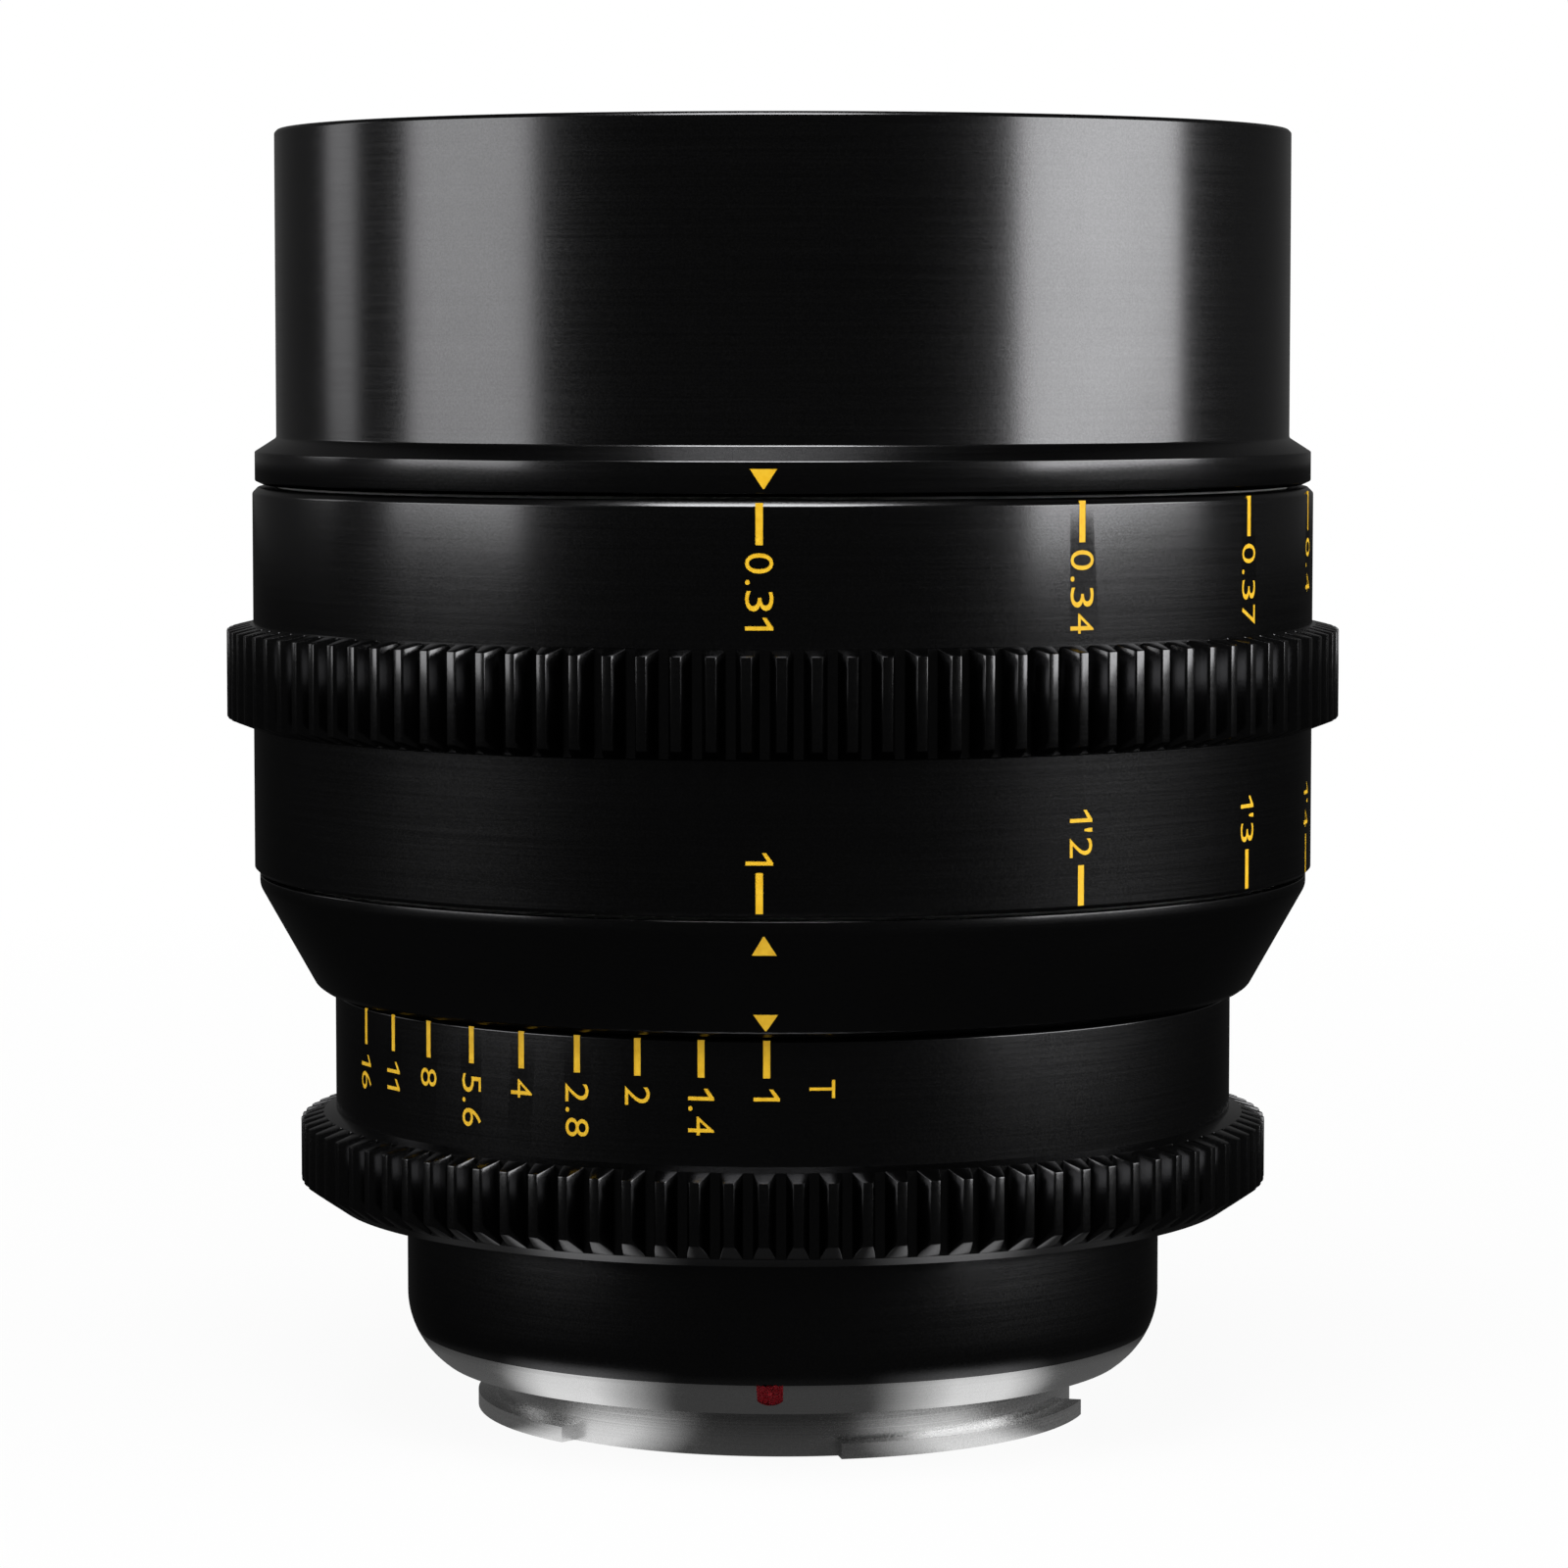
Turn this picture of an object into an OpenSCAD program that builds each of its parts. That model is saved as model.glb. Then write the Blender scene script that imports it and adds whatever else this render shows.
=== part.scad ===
// Cinema prime lens, front element up, standing on its bayonet.
// The origin is the centre of the seating face of the mount, +Z runs to the front rim,
// and the index line lies on -Y. All sizes are in millimetres.

/* [Mount] */
// Height of the silver flange above its seating face
flange_t = 2.55; // [2:0.05:3.5]
// Outside diameter of the bayonet collar
collar_d = 46; // [44:0.1:47]
// Depth of the bayonet below the seating face
bayonet_h = 4.1; // [3.6:0.1:5]
// Reach of a bayonet lug beyond the collar
lug_reach = 1.4; // [0.8:0.1:1.8]
// Thickness of a bayonet lug
lug_t = 1.2; // [0.8:0.1:1.5]
// Angle that each of the three lugs spans
lug_angle = 65; // [45:1:80]
// Direction of the first lug's middle, from +X
lug_middle = -45; // [-60:1:-30]
// Clear diameter of the bayonet's throat
throat_d = 41; // [40:0.1:42]
// Distance of the mount screws from the axis
mount_screw_r = 25.6; // [25.4:0.1:25.8]
// Diameter of the mount screws
mount_screw_d = 1.6; // [1.2:0.1:1.8]
// Diameter of the red mounting dot
dot_d = 1.7; // [1:0.1:1.7]
// Distance of the red dot's centre below the top of the flange
dot_below = 0.9; // [0.9:0.05:1.1]

/* [Rear barrel] */
// Outside diameter of the rear barrel
rear_d = 60; // [59:0.1:62]
// Length of the rear barrel
rear_len = 9.85; // [9:0.05:14]
// Radius of the rounding that runs over rear barrel and flange
tail_round = 6.5; // [6:0.1:7]
// Height at which that rounding starts
tail_z = 5.28; // [5.1:0.02:5.6]
// Depth of the web that the main barrel seats on
rear_web = 5.45; // [5:0.05:6]

/* [Gears] */
// Module of both follow-focus gears
gear_module = 0.8; // [0.8]
// Number of teeth on the focus gear
focus_teeth = 108; // [108:1:112]
// Number of teeth on the iris gear
iris_teeth = 94; // [94:1:98]
// Direction of a tooth on the focus gear, from +X
focus_tooth_angle = -88.2; // [-90:0.1:-86]
// Direction of a tooth on the iris gear, from +X
iris_tooth_angle = -90.2; // [-92:0.1:-88]

/* [Iris ring] */
// Outside diameter of the iris ring
iris_d = 71.2; // [70:0.1:72.4]
// Length of the iris ring
iris_len = 17; // [16.5:0.1:20]
// Height of the iris gear
iris_gear_h = 7.42; // [6:0.01:8]
// Drop of the iris gear's top from its ring to its tips
iris_gear_fall = 0.84; // [0.2:0.02:1]
// Rise of the iris gear's underside from its ring to its tips
iris_gear_rise = 1.9; // [0.5:0.02:2.4]
// Turn of the iris ring from wide open to closed
iris_turn = 63; // [50:1:66]
// Thickness of the web that the ring runs on
iris_web = 1.8; // [1.4:0.1:2.2]

/* [Cone] */
// Length of the cone housing
cone_len = 9; // [8.5:0.1:12]
// Diameter of the cone's front edge
cone_front_d = 83; // [82:0.1:83.6]
// Diameter of the cone's rear edge
cone_rear_d = 74.3; // [73:0.1:75]
// Chamfer on the cone's rear edge
cone_chamfer = 0.5; // [0.2:0.05:0.8]
// Diameter of the screws that hold the cone
cone_screw_d = 1.6; // [1.2:0.1:2]

/* [Focus ring] */
// Outside diameter of the focus ring
focus_d = 83.8; // [83.4:0.1:84.2]
// Length of the focus ring
focus_len = 30.2; // [30:0.1:36]
// Height of the gear's underside above the ring's rear end
focus_gear_z = 11.38; // [9:0.01:14]
// Height of the focus gear
focus_gear_h = 8.12; // [6:0.01:10]
// Fall of the focus gear's top from its ring to its tips
focus_gear_fall = 0.5; // [0.2:0.02:0.9]
// Rise of the focus gear's underside from its ring to its tips
focus_gear_rise = 0.8; // [0.2:0.02:1.2]
// Chamfer on the ring's front edge
focus_chamfer = 0.45; // [0.2:0.05:0.8]
// Turn of the focus ring from nearest to infinity
focus_turn = 240; // [180:5:270]
// Travel of the optical unit over that turn
focus_travel = 2.2; // [1.4:0.1:2.4]

/* [Front barrel] */
// Clamp-on diameter of the front
front_d = 80; // [79:0.1:81]
// Length of the front barrel from its shoulder to the rim
front_len = 27.7; // [26:0.1:30]
// Diameter of the shoulder behind the clamp-on surface
shoulder_d = 83.4; // [83:0.1:84]
// Thickness of the shoulder
shoulder_t = 2.56; // [2:0.02:3]
// Height of the slope from the shoulder to the clamp-on surface
shoulder_slope = 1.09; // [0.6:0.01:1.6]
// Width of the groove between focus ring and shoulder
groove_w = 0.3; // [0.2:0.05:0.5]
// Depth of that groove
groove_depth = 0.65; // [0.4:0.05:1]
// Core diameter of the filter thread
filter_d = 76.2; // [75.6:0.1:76.6]
// Length of the filter thread
filter_len = 5; // [4:0.1:6]
// Chamfer on the rim's outer edge
rim_chamfer = 0.4; // [0.2:0.05:0.6]

/* [Glass] */
// Centre thickness of each element, front to back
glass_t = [3, 2.5, 2, 10, 7, 8.5, 4, 1.6, 5, 3.4]; // [1:0.1:12]
// Radius of each front surface, negative where it is hollow
glass_front = [90, 70, -80, 60, 50, 70, 40, -60, 70, 60]; // [-300:1:300]
// Radius of each back surface, negative where it is hollow
glass_back = [-48, -30, -60, 55, 120, 45, -60, -70, 90, -200]; // [-300:1:300]
// Outer radius of each element
glass_r = [31, 26, 21, 21, 19, 19, 19, 17, 17, 17]; // [10:0.1:32]

/* [Iris] */
// Radius of the full aperture
aperture_r = 16.5; // [16:0.1:16.6]
// Radius of the smallest aperture
smallest_r = 1.03; // [0.8:0.01:3]
// Thickness of a blade
blade_t = 0.1; // [0.06:0.01:0.1]
// Rise from one blade to the next
blade_step = 0.14; // [0.12:0.01:0.15]
// Inner radius of an open blade
blade_in = 16.7; // [16.7:0.1:17]
// Width of a blade's band
blade_w = 5.3; // [4.5:0.1:5.6]
// Angle that a blade's band spans past its pivot
blade_span = 104; // [100:1:108]
// Distance of the blade pivots from the axis
pivot_r = 23.6; // [23.4:0.1:23.9]
// Angle from a blade's pivot to its drive pin
pin_offset = 22; // [20:0.5:23]
// Diameter of the blade pins
blade_pin_d = 0.8; // [0.5:0.05:0.8]

/* [Fits] */
// Clearance between pieces that are fixed to each other
seat_gap = 0.05; // [0.03:0.01:0.1]
// Radial clearance of a turning or sliding piece
run_gap = 0.1; // [0.05:0.01:0.15]
// End clearance of a turning piece
end_gap = 0.2; // [0.1:0.05:0.25]
// Clearance between pieces that only pass each other
free_gap = 0.3; // [0.2:0.05:0.4]

/* [Hidden] */
$fn = 96;
ball_facets = 240;
over = 1;
lug_count = 3;
mount_screw_count = 4;
cone_screw_count = 4;
key_count = 3;
blade_count = 11;
blade_names = [for (i = [1:blade_count]) str("blade_", i < 10 ? "0" : "", i)];
blade_pitch = 360 / blade_count;

// Heights of the outer pieces, stacked from the seating face
rear_top = flange_t + rear_len;
iris_z = rear_top + end_gap;
iris_top = iris_z + iris_len;
cone_z = iris_top + end_gap;
cone_top = cone_z + cone_len;
focus_z = cone_top + free_gap;
focus_top = focus_z + focus_len;
shoulder_z = focus_top + end_gap;
rim_z = shoulder_z + front_len;
thread_z = rim_z - filter_len;

// Radii of the outer pieces
collar_r = collar_d / 2;
throat_r = throat_d / 2;
rear_r = rear_d / 2;
iris_r = iris_d / 2;
focus_r = focus_d / 2;
front_r = front_d / 2;
shoulder_r = shoulder_d / 2;
filter_r = filter_d / 2;
groove_r = shoulder_r - groove_depth;
wall = 1.8;

// Gear radii for full-depth teeth
addendum = gear_module;
dedendum = 1.25 * gear_module;
pressure_angle = 20;
focus_pitch_r = focus_teeth * gear_module / 2;
focus_tip_r = focus_pitch_r + addendum;
iris_pitch_r = iris_teeth * gear_module / 2;
iris_tip_r = iris_pitch_r + addendum;

// Main barrel: a stepped tube in three stages
main_z = flange_t + rear_web;
rear_wall = 2;
main_rear_r = rear_r - rear_wall;
main_rear_bore = main_rear_r - wall;
screw_land = 1.4;
main_web_bore = mount_screw_r - screw_land;
main_web = 2.8;
step_z = iris_z + iris_web + end_gap;
step_t = 1.5;
step_top = step_z + step_t;
main_mid_bore = 30;
mid_wall = 2.3;
main_mid_r = main_mid_bore + mid_wall;
tube_wall = 1.7;
front_wall = 2.1;
main_front_r = front_r - front_wall;
main_front_bore = main_front_r - tube_wall;
// The ledge lies where the cone has its least wall outside it
cone_wall = 1.1;
ledge_z = cone_z + cone_len * (2 * (main_front_r + cone_wall) - cone_rear_d) / (cone_front_d - cone_rear_d);
ledge_t = 2;
ledge_top = ledge_z + ledge_t;
front_seat_len = 5.5;
main_top = shoulder_z + front_seat_len;

// Helicoid sleeve and its two thrust washers
grip_wall = 1.9;
sleeve_r = focus_r - grip_wall;
sleeve_bore = main_front_r + run_gap;
thread_relief = 1;
washer_t = 2.8;
washer_in = main_front_r + 2 * run_gap;
washer_out = sleeve_r - run_gap;
sleeve_z = cone_top + washer_t + end_gap;
front_washer_t = 2;
sleeve_top = shoulder_z - front_washer_t - end_gap;
stop_pin_r = 1.2;
stop_angle = 200;
stop_slack = 0.5;
stop_down = 3.6;
stop_z = sleeve_top - stop_down;
stop_depth = 1.3;

// Sliding optical unit, which rests at its forward end
carriage_z = step_top + free_gap + focus_travel;
carriage_web = 1.8;
carriage_r = main_mid_bore - free_gap;
carriage_bore = carriage_r - tube_wall;
carriage_step_z = ledge_top + end_gap + focus_travel;
carriage_front_r = main_front_bore - free_gap;
carriage_front_bore = carriage_front_r - tube_wall;
key_w = 8;
key_h = 10;
key_up = 6.2;
key_z = sleeve_z + key_up;
key_reach = thread_relief - 2 * run_gap;
key_r = sleeve_bore + key_reach;
key_screw_r = 1;
key_angle = 30;

// Iris, built up on the carriage's web
base_z = carriage_z + carriage_web;
base_t = 1.1;
blade_z = base_z + base_t + run_gap;
blade_stack = blade_count * blade_step;
actuator_z = blade_z + blade_stack + run_gap / 2;
actuator_t = 1;
actuator_r = carriage_bore - free_gap;
actuator_rim = 2.5;
actuator_rim_h = 4.4;
cell_low = actuator_z + actuator_t + end_gap;
drive_pin_r = 0.9;
drive_up = 1.8;
drive_pin_z = actuator_z + actuator_t + drive_up;
drive_pin_reach = 1.4;
drive_angle = 60;
blade_pin_r = blade_pin_d / 2;
slot_r = blade_pin_r + run_gap;
ear_margin = 1.1;
blade_swing = 2 * asin((blade_in - smallest_r) / (2 * pivot_r));
blade_ratio = blade_swing / iris_turn;

// Heights of the glass, set out from the iris to both ends
air_6_7 = 0.7;
air_5_6 = 0.6;
air_4_5 = 1;
air_1_2 = 6;
air_9_10 = 1.8;
cement = 0.02;
edge_flat = 1.5;
wide_flat = 3;
ring_wall = 1.7;
retainer_h = 2.4;
front_lip = 1.4;
front_lip_top = 0.2;
thin_ring_h = 1.2;
rear_cell_top = base_z - run_gap;
rear_lip = 0.9;

// Height of a spherical surface's rim below or above its vertex
function sag(radius, r) = abs(radius) - sqrt(radius * radius - r * r);
// Radius out to which a hollow surface is ground before its flat rim
function hollow_r(i) = glass_r[i] - edge_flat;

back_7 = cell_low + end_gap + retainer_h + sag(glass_back[6], hollow_r(6));
back_6 = back_7 + glass_t[6] + air_6_7;
back_5 = back_6 + glass_t[5] + air_5_6;
back_4 = back_5 + glass_t[4] + air_4_5;
back_3 = back_4 + glass_t[3] + cement;
top_3 = back_3 + glass_t[2] + sag(glass_front[2], hollow_r(2));
flat_2 = top_3 + thin_ring_h + end_gap;
back_2 = flat_2 + sag(glass_back[1], hollow_r(1) - wide_flat);
back_1 = back_2 + glass_t[1] + air_1_2;
top_8 = rear_cell_top - rear_lip - seat_gap;
back_8 = top_8 - sag(glass_front[7], hollow_r(7)) - glass_t[7];
back_9 = back_8 - cement - glass_t[8];
back_10 = back_9 - air_9_10 - glass_t[9];
// Back vertex of every element, front to back
glass_z = [back_1, back_2, back_3, back_4, back_5, back_6, back_7, back_8, back_9, back_10];

// Front and rear cell
cell_r = carriage_front_bore - seat_gap;
cell_seat_z = carriage_step_z + carriage_web;
neck_room = 0.7;
cell_neck_r = actuator_r - actuator_rim - neck_room;
cell_drop = 2;
cell_top = back_1 + glass_t[0] - cell_drop;
carriage_top = cell_top - cell_drop;
throat_step = 0.5;
rear_cell_r = throat_r + throat_step;
neck_wall = 1.5;
rear_neck_r = rear_cell_r + neck_wall;
flange_reach = 2.1;
rear_flange_r = rear_neck_r + flange_reach;
rear_flange_t = 1.8;
flat_10 = back_10 - sag(glass_back[9], hollow_r(9));
rear_cell_z = flat_10 - thin_ring_h;
pocket_r = rear_cell_r + throat_step;
pocket_z = 0.3;
baffle_lip = 0.5;
baffle_wall = 2.3;

// Front trim ring
trim_lip = 1;
trim_z = cell_top + trim_lip;
trim_room = 0.5;
trim_bore = glass_r[0] + trim_room;
trim_in = 0.65;
trim_r = filter_r - trim_in;
trim_down = 0.7;
trim_top = thread_z - trim_down;
trim_land = 1.2;
trim_steps = 4;

// Solid of revolution from points of radius and height
module turned(points) {
    rotate_extrude() polygon(points);
}

// Plain ring between two radii and two heights
module plain_ring(r_in, r_out, z_low, z_high) {
    turned([[r_in, z_low], [r_out, z_low], [r_out, z_high], [r_in, z_high]]);
}

// Part of such a ring from one angle over another
module arc_block(r_in, r_out, z_low, z_high, from, span) {
    rotate([0, 0, from]) rotate_extrude(angle = span)
        translate([r_in, z_low]) square([r_out - r_in, z_high - z_low]);
}

// Round bar that points away from the axis
module radial_bar(r, from_r, to_r, z, angle) {
    rotate([0, 0, angle]) translate([from_r, 0, z]) rotate([0, 90, 0])
        cylinder(r = r, h = to_r - from_r);
}

// Copies around the axis
module around(count, first = 0) {
    for (i = [0:count - 1]) rotate([0, 0, first + i * 360 / count]) children();
}

// Outline below the rounding that rear barrel and flange share
module tail_outline() {
    translate([rear_r - tail_round, tail_z]) circle(r = tail_round);
    square([rear_r - tail_round, rear_top]);
    translate([0, tail_z]) square([rear_r, rear_top - tail_z]);
}

// Involute of the pressure angle, in degrees
function involute(a) = tan(a) * 180 / PI - a;
// Half of the angle that a tooth takes up at a radius
function half_tooth(teeth, r) =
    let (base_r = teeth * gear_module / 2 * cos(pressure_angle))
    90 / teeth + involute(pressure_angle) - involute(acos(base_r / r));

// Outline of a gear with one tooth at an angle
module gear_outline(teeth, at) {
    pitch_r = teeth * gear_module / 2;
    radii = [pitch_r - dedendum, pitch_r, pitch_r + addendum];
    polygon([for (i = [0:teeth - 1]) for (side = [-1, 1]) for (k = [0:2])
        let (r = radii[side < 0 ? k : 2 - k],
            a = at + i * 360 / teeth + side * half_tooth(teeth, r))
        r * [cos(a), sin(a)]]);
}

// Toothed band whose ends are cut to the outline of a turned blank
module toothed_band(teeth, at, bore, z_low, z_high, blank) {
    intersection() {
        translate([0, 0, z_low]) linear_extrude(z_high - z_low) difference() {
            gear_outline(teeth, at);
            circle(r = bore);
        }
        turned(blank);
    }
}

// Direction of the red dot, square to the rounded flange
dot_drop = asin((tail_z - flange_t + dot_below) / tail_round);
dot_depth = 0.4;
module dot_place() {
    rotate([0, 0, -90]) translate([rear_r - tail_round, 0, tail_z]) rotate([0, 90 + dot_drop, 0])
        translate([0, 0, tail_round]) children();
}

mount_head_rim = 0.7;
mount_head_r = mount_screw_d / 2 + mount_head_rim;
mount_head_h = 1.1;
mount_screw_len = main_z + main_web - baffle_lip;
lock_slot_w = 1.9;
lock_slot_angle = 105;
module bayonet_ring() color("silver") difference() {
    union() {
        rotate_extrude() intersection() {
            translate([throat_r, 0]) square([rear_r - throat_r, flange_t]);
            tail_outline();
        }
        plain_ring(throat_r, collar_r, -bayonet_h, flange_t / 2);
        for (i = [0:lug_count - 1])
            arc_block(throat_r + over, collar_r + lug_reach, -bayonet_h, -bayonet_h + lug_t,
                lug_middle - lug_angle / 2 + i * 360 / lug_count, lug_angle);
    }
    translate([0, 0, pocket_z]) cylinder(r = pocket_r, h = flange_t);
    around(mount_screw_count, 45) translate([mount_screw_r, 0, 0]) {
        translate([0, 0, -over]) cylinder(r = mount_screw_d / 2 + seat_gap, h = flange_t + 2 * over);
        translate([0, 0, -over]) cylinder(r = mount_head_r + seat_gap, h = mount_head_h + over);
    }
    translate([0, 0, -over]) rotate([0, 0, lock_slot_angle]) translate([mount_screw_r, 0, 0])
        cylinder(r = lock_slot_w / 2, h = flange_t / 2 + over);
    dot_place() translate([0, 0, -dot_depth]) cylinder(d = dot_d, h = dot_depth + over);
}

module mount_index_dot() color("red") dot_place() {
    translate([0, 0, seat_gap - dot_depth]) cylinder(d = dot_d - 2 * seat_gap, h = dot_depth - seat_gap);
}

drive_slot_w = 0.45;
module mount_screws() color("silver") around(mount_screw_count, 45) translate([mount_screw_r, 0, 0])
    difference() {
        union() {
            translate([0, 0, seat_gap]) cylinder(r = mount_head_r, h = mount_head_h - seat_gap);
            translate([0, 0, seat_gap]) cylinder(d = mount_screw_d, h = mount_screw_len);
        }
        for (turn = [0, 90]) rotate([0, 0, turn])
            cube([mount_head_r * 1.3, drive_slot_w, mount_head_h], center = true);
    }

module rear_barrel() color([0.06, 0.06, 0.06]) difference() {
    rotate_extrude() intersection() {
        polygon([[main_web_bore, flange_t], [rear_r, flange_t], [rear_r, rear_top],
            [main_rear_r + seat_gap, rear_top], [main_rear_r + seat_gap, main_z],
            [main_web_bore, main_z]]);
        tail_outline();
    }
    around(mount_screw_count, 45) translate([mount_screw_r, 0, 0])
        cylinder(r = mount_screw_d / 2 + seat_gap, h = main_z + over);
}

module rear_baffle() color([0.03, 0.03, 0.03]) turned([
    [throat_r - baffle_wall, -bayonet_h + baffle_lip], [throat_r - seat_gap, -bayonet_h + baffle_lip],
    [throat_r - seat_gap, pocket_z], [pocket_r - seat_gap, pocket_z],
    [pocket_r - seat_gap, pocket_z + baffle_lip], [throat_r - baffle_wall, pocket_z + baffle_lip]]);

// Room that the drive pin needs to swing, in degrees to each side
drive_slack = asin((drive_pin_r + free_gap) / main_mid_bore);
key_slack = 0.3;
module main_barrel() color([0.3, 0.3, 0.32]) difference() {
    turned([[main_web_bore, main_z], [main_rear_r, main_z], [main_rear_r, step_z], [main_mid_r, step_z],
        [main_mid_r, ledge_z], [main_front_r, ledge_z], [main_front_r, main_top],
        [main_front_bore, main_top], [main_front_bore, ledge_top], [main_mid_bore, ledge_top],
        [main_mid_bore, step_top], [main_rear_bore, step_top],
        [main_rear_bore, main_z + main_web], [main_web_bore, main_z + main_web]]);
    around(mount_screw_count, 45) translate([mount_screw_r, 0, main_z - over])
        cylinder(r = mount_screw_d / 2 + seat_gap, h = main_web + 2 * over);
    around(cone_screw_count) translate([cone_screw_at, 0, ledge_z - over])
        cylinder(r = cone_screw_d / 2 + seat_gap, h = ledge_t + 2 * over);
    around(key_count, key_angle)
        translate([main_front_bore - over, -key_w / 2 - run_gap, key_z - focus_travel - key_slack])
        cube([2 * wall, key_w + 2 * run_gap, key_h + focus_travel + 2 * key_slack]);
    arc_block(main_mid_bore - over, main_mid_r + over, drive_pin_z - focus_travel - drive_pin_r - free_gap,
        drive_pin_z + drive_pin_r + free_gap, drive_angle - drive_slack, iris_turn + 2 * drive_slack);
    radial_bar(stop_pin_r + seat_gap, main_front_bore - over, main_front_r + over, stop_z, stop_angle);
}

cone_head_rim = 0.8;
cone_head_r = cone_screw_d / 2 + cone_head_rim;
cone_head_h = 1.3;
cone_screw_at = (main_mid_r + cone_rear_d / 2) / 2;
cone_land = 0.86;
module cone_housing() color([0.06, 0.06, 0.06]) difference() {
    turned([[main_mid_r + seat_gap, cone_z], [cone_rear_d / 2 - cone_chamfer, cone_z],
        [cone_rear_d / 2, cone_z + cone_chamfer * 0.7], [cone_front_d / 2, cone_top - cone_land],
        [cone_front_d / 2, cone_top], [main_front_r + seat_gap, cone_top],
        [main_front_r + seat_gap, ledge_z], [main_mid_r + seat_gap, ledge_z]]);
    around(cone_screw_count) translate([cone_screw_at, 0, cone_z - over]) {
        cylinder(r = cone_screw_d / 2 + seat_gap, h = cone_len);
        cylinder(r = cone_head_r + seat_gap, h = cone_head_h + over);
    }
}

module cone_screws() color("silver") around(cone_screw_count) translate([cone_screw_at, 0, cone_z]) {
    translate([0, 0, seat_gap]) cylinder(r = cone_head_r, h = cone_head_h - seat_gap);
    translate([0, 0, seat_gap]) cylinder(d = cone_screw_d, h = ledge_top - cone_z - 2 * seat_gap);
}

module rear_thrust_washer() color("ivory")
    plain_ring(washer_in, washer_out, cone_top, cone_top + washer_t);

module front_thrust_washer() color("ivory")
    plain_ring(washer_in, washer_out, shoulder_z - front_washer_t, shoulder_z);

module focus_stop_pin() color("silver")
    radial_bar(stop_pin_r, main_front_bore + seat_gap, sleeve_bore + stop_depth - free_gap, stop_z, stop_angle);

front_bore = main_front_bore + free_gap;
module front_barrel() color([0.06, 0.06, 0.06]) turned([
    [main_front_r + seat_gap, shoulder_z], [groove_r, shoulder_z], [shoulder_r, shoulder_z + groove_w],
    [shoulder_r, shoulder_z + shoulder_t],
    [front_r, shoulder_z + shoulder_t + shoulder_slope], [front_r, rim_z - rim_chamfer],
    [front_r - rim_chamfer, rim_z], [filter_r, rim_z], [filter_r, thread_z], [trim_r + seat_gap, thread_z],
    [trim_r + seat_gap, trim_z], [front_bore, trim_z], [front_bore, main_top],
    [main_front_r + seat_gap, main_top]]);

// Steps that break up stray light, rising outwards to the rim
step_r = (trim_r - trim_land - trim_bore) / trim_steps;
step_h = (trim_top - trim_z - trim_lip) / trim_steps;
module front_trim_ring() color([0.04, 0.04, 0.04]) turned(concat(
    [[trim_bore, trim_z], [trim_r, trim_z], [trim_r, trim_top]],
    [for (i = [trim_steps:-1:1]) for (end = [1, 0])
        [trim_bore + step_r * (i - 1 + end), trim_z + trim_lip + step_h * i]],
    [[trim_bore, trim_z + trim_lip]]));

focus_gear_low = focus_z + focus_gear_z;
focus_gear_top = focus_gear_low + focus_gear_h;
focus_gear_slope = focus_gear_fall / (focus_tip_r - focus_r);
focus_gear_under = focus_gear_rise / (focus_tip_r - focus_r);
band_lap = 0.9;
ring_edge = 0.3;
module focus_ring() color([0.06, 0.06, 0.06]) union() {
    turned([[sleeve_r + seat_gap, focus_z], [focus_r - ring_edge, focus_z], [focus_r, focus_z + ring_edge],
        [focus_r, focus_top - focus_chamfer], [focus_r - focus_chamfer, focus_top],
        [sleeve_r + seat_gap, focus_top]]);
    toothed_band(focus_teeth, focus_tooth_angle, focus_r - band_lap, focus_gear_low, focus_gear_top, [
        [focus_r - band_lap - over, focus_gear_low], [focus_r, focus_gear_low],
        [focus_tip_r + over, focus_gear_low + focus_gear_under * (focus_tip_r + over - focus_r)],
        [focus_tip_r + over, focus_gear_top - focus_gear_slope * (focus_tip_r + over - focus_r)],
        [focus_r, focus_gear_top], [focus_r - band_lap - over, focus_gear_top]]);
}

thread_low = key_z - focus_travel - key_slack;
thread_top = key_z + key_h + key_slack;
stop_half = asin(stop_pin_r / main_front_r) + stop_slack;
module helicoid_sleeve() color("goldenrod") difference() {
    turned([[sleeve_bore, sleeve_z], [sleeve_r, sleeve_z], [sleeve_r, sleeve_top], [sleeve_bore, sleeve_top],
        [sleeve_bore, thread_top], [sleeve_bore + thread_relief, thread_top],
        [sleeve_bore + thread_relief, thread_low], [sleeve_bore, thread_low]]);
    arc_block(sleeve_bore - over, sleeve_bore + stop_depth, stop_z - stop_pin_r - run_gap,
        stop_z + stop_pin_r + run_gap, stop_angle - stop_half, focus_turn + 2 * stop_half);
}

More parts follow.
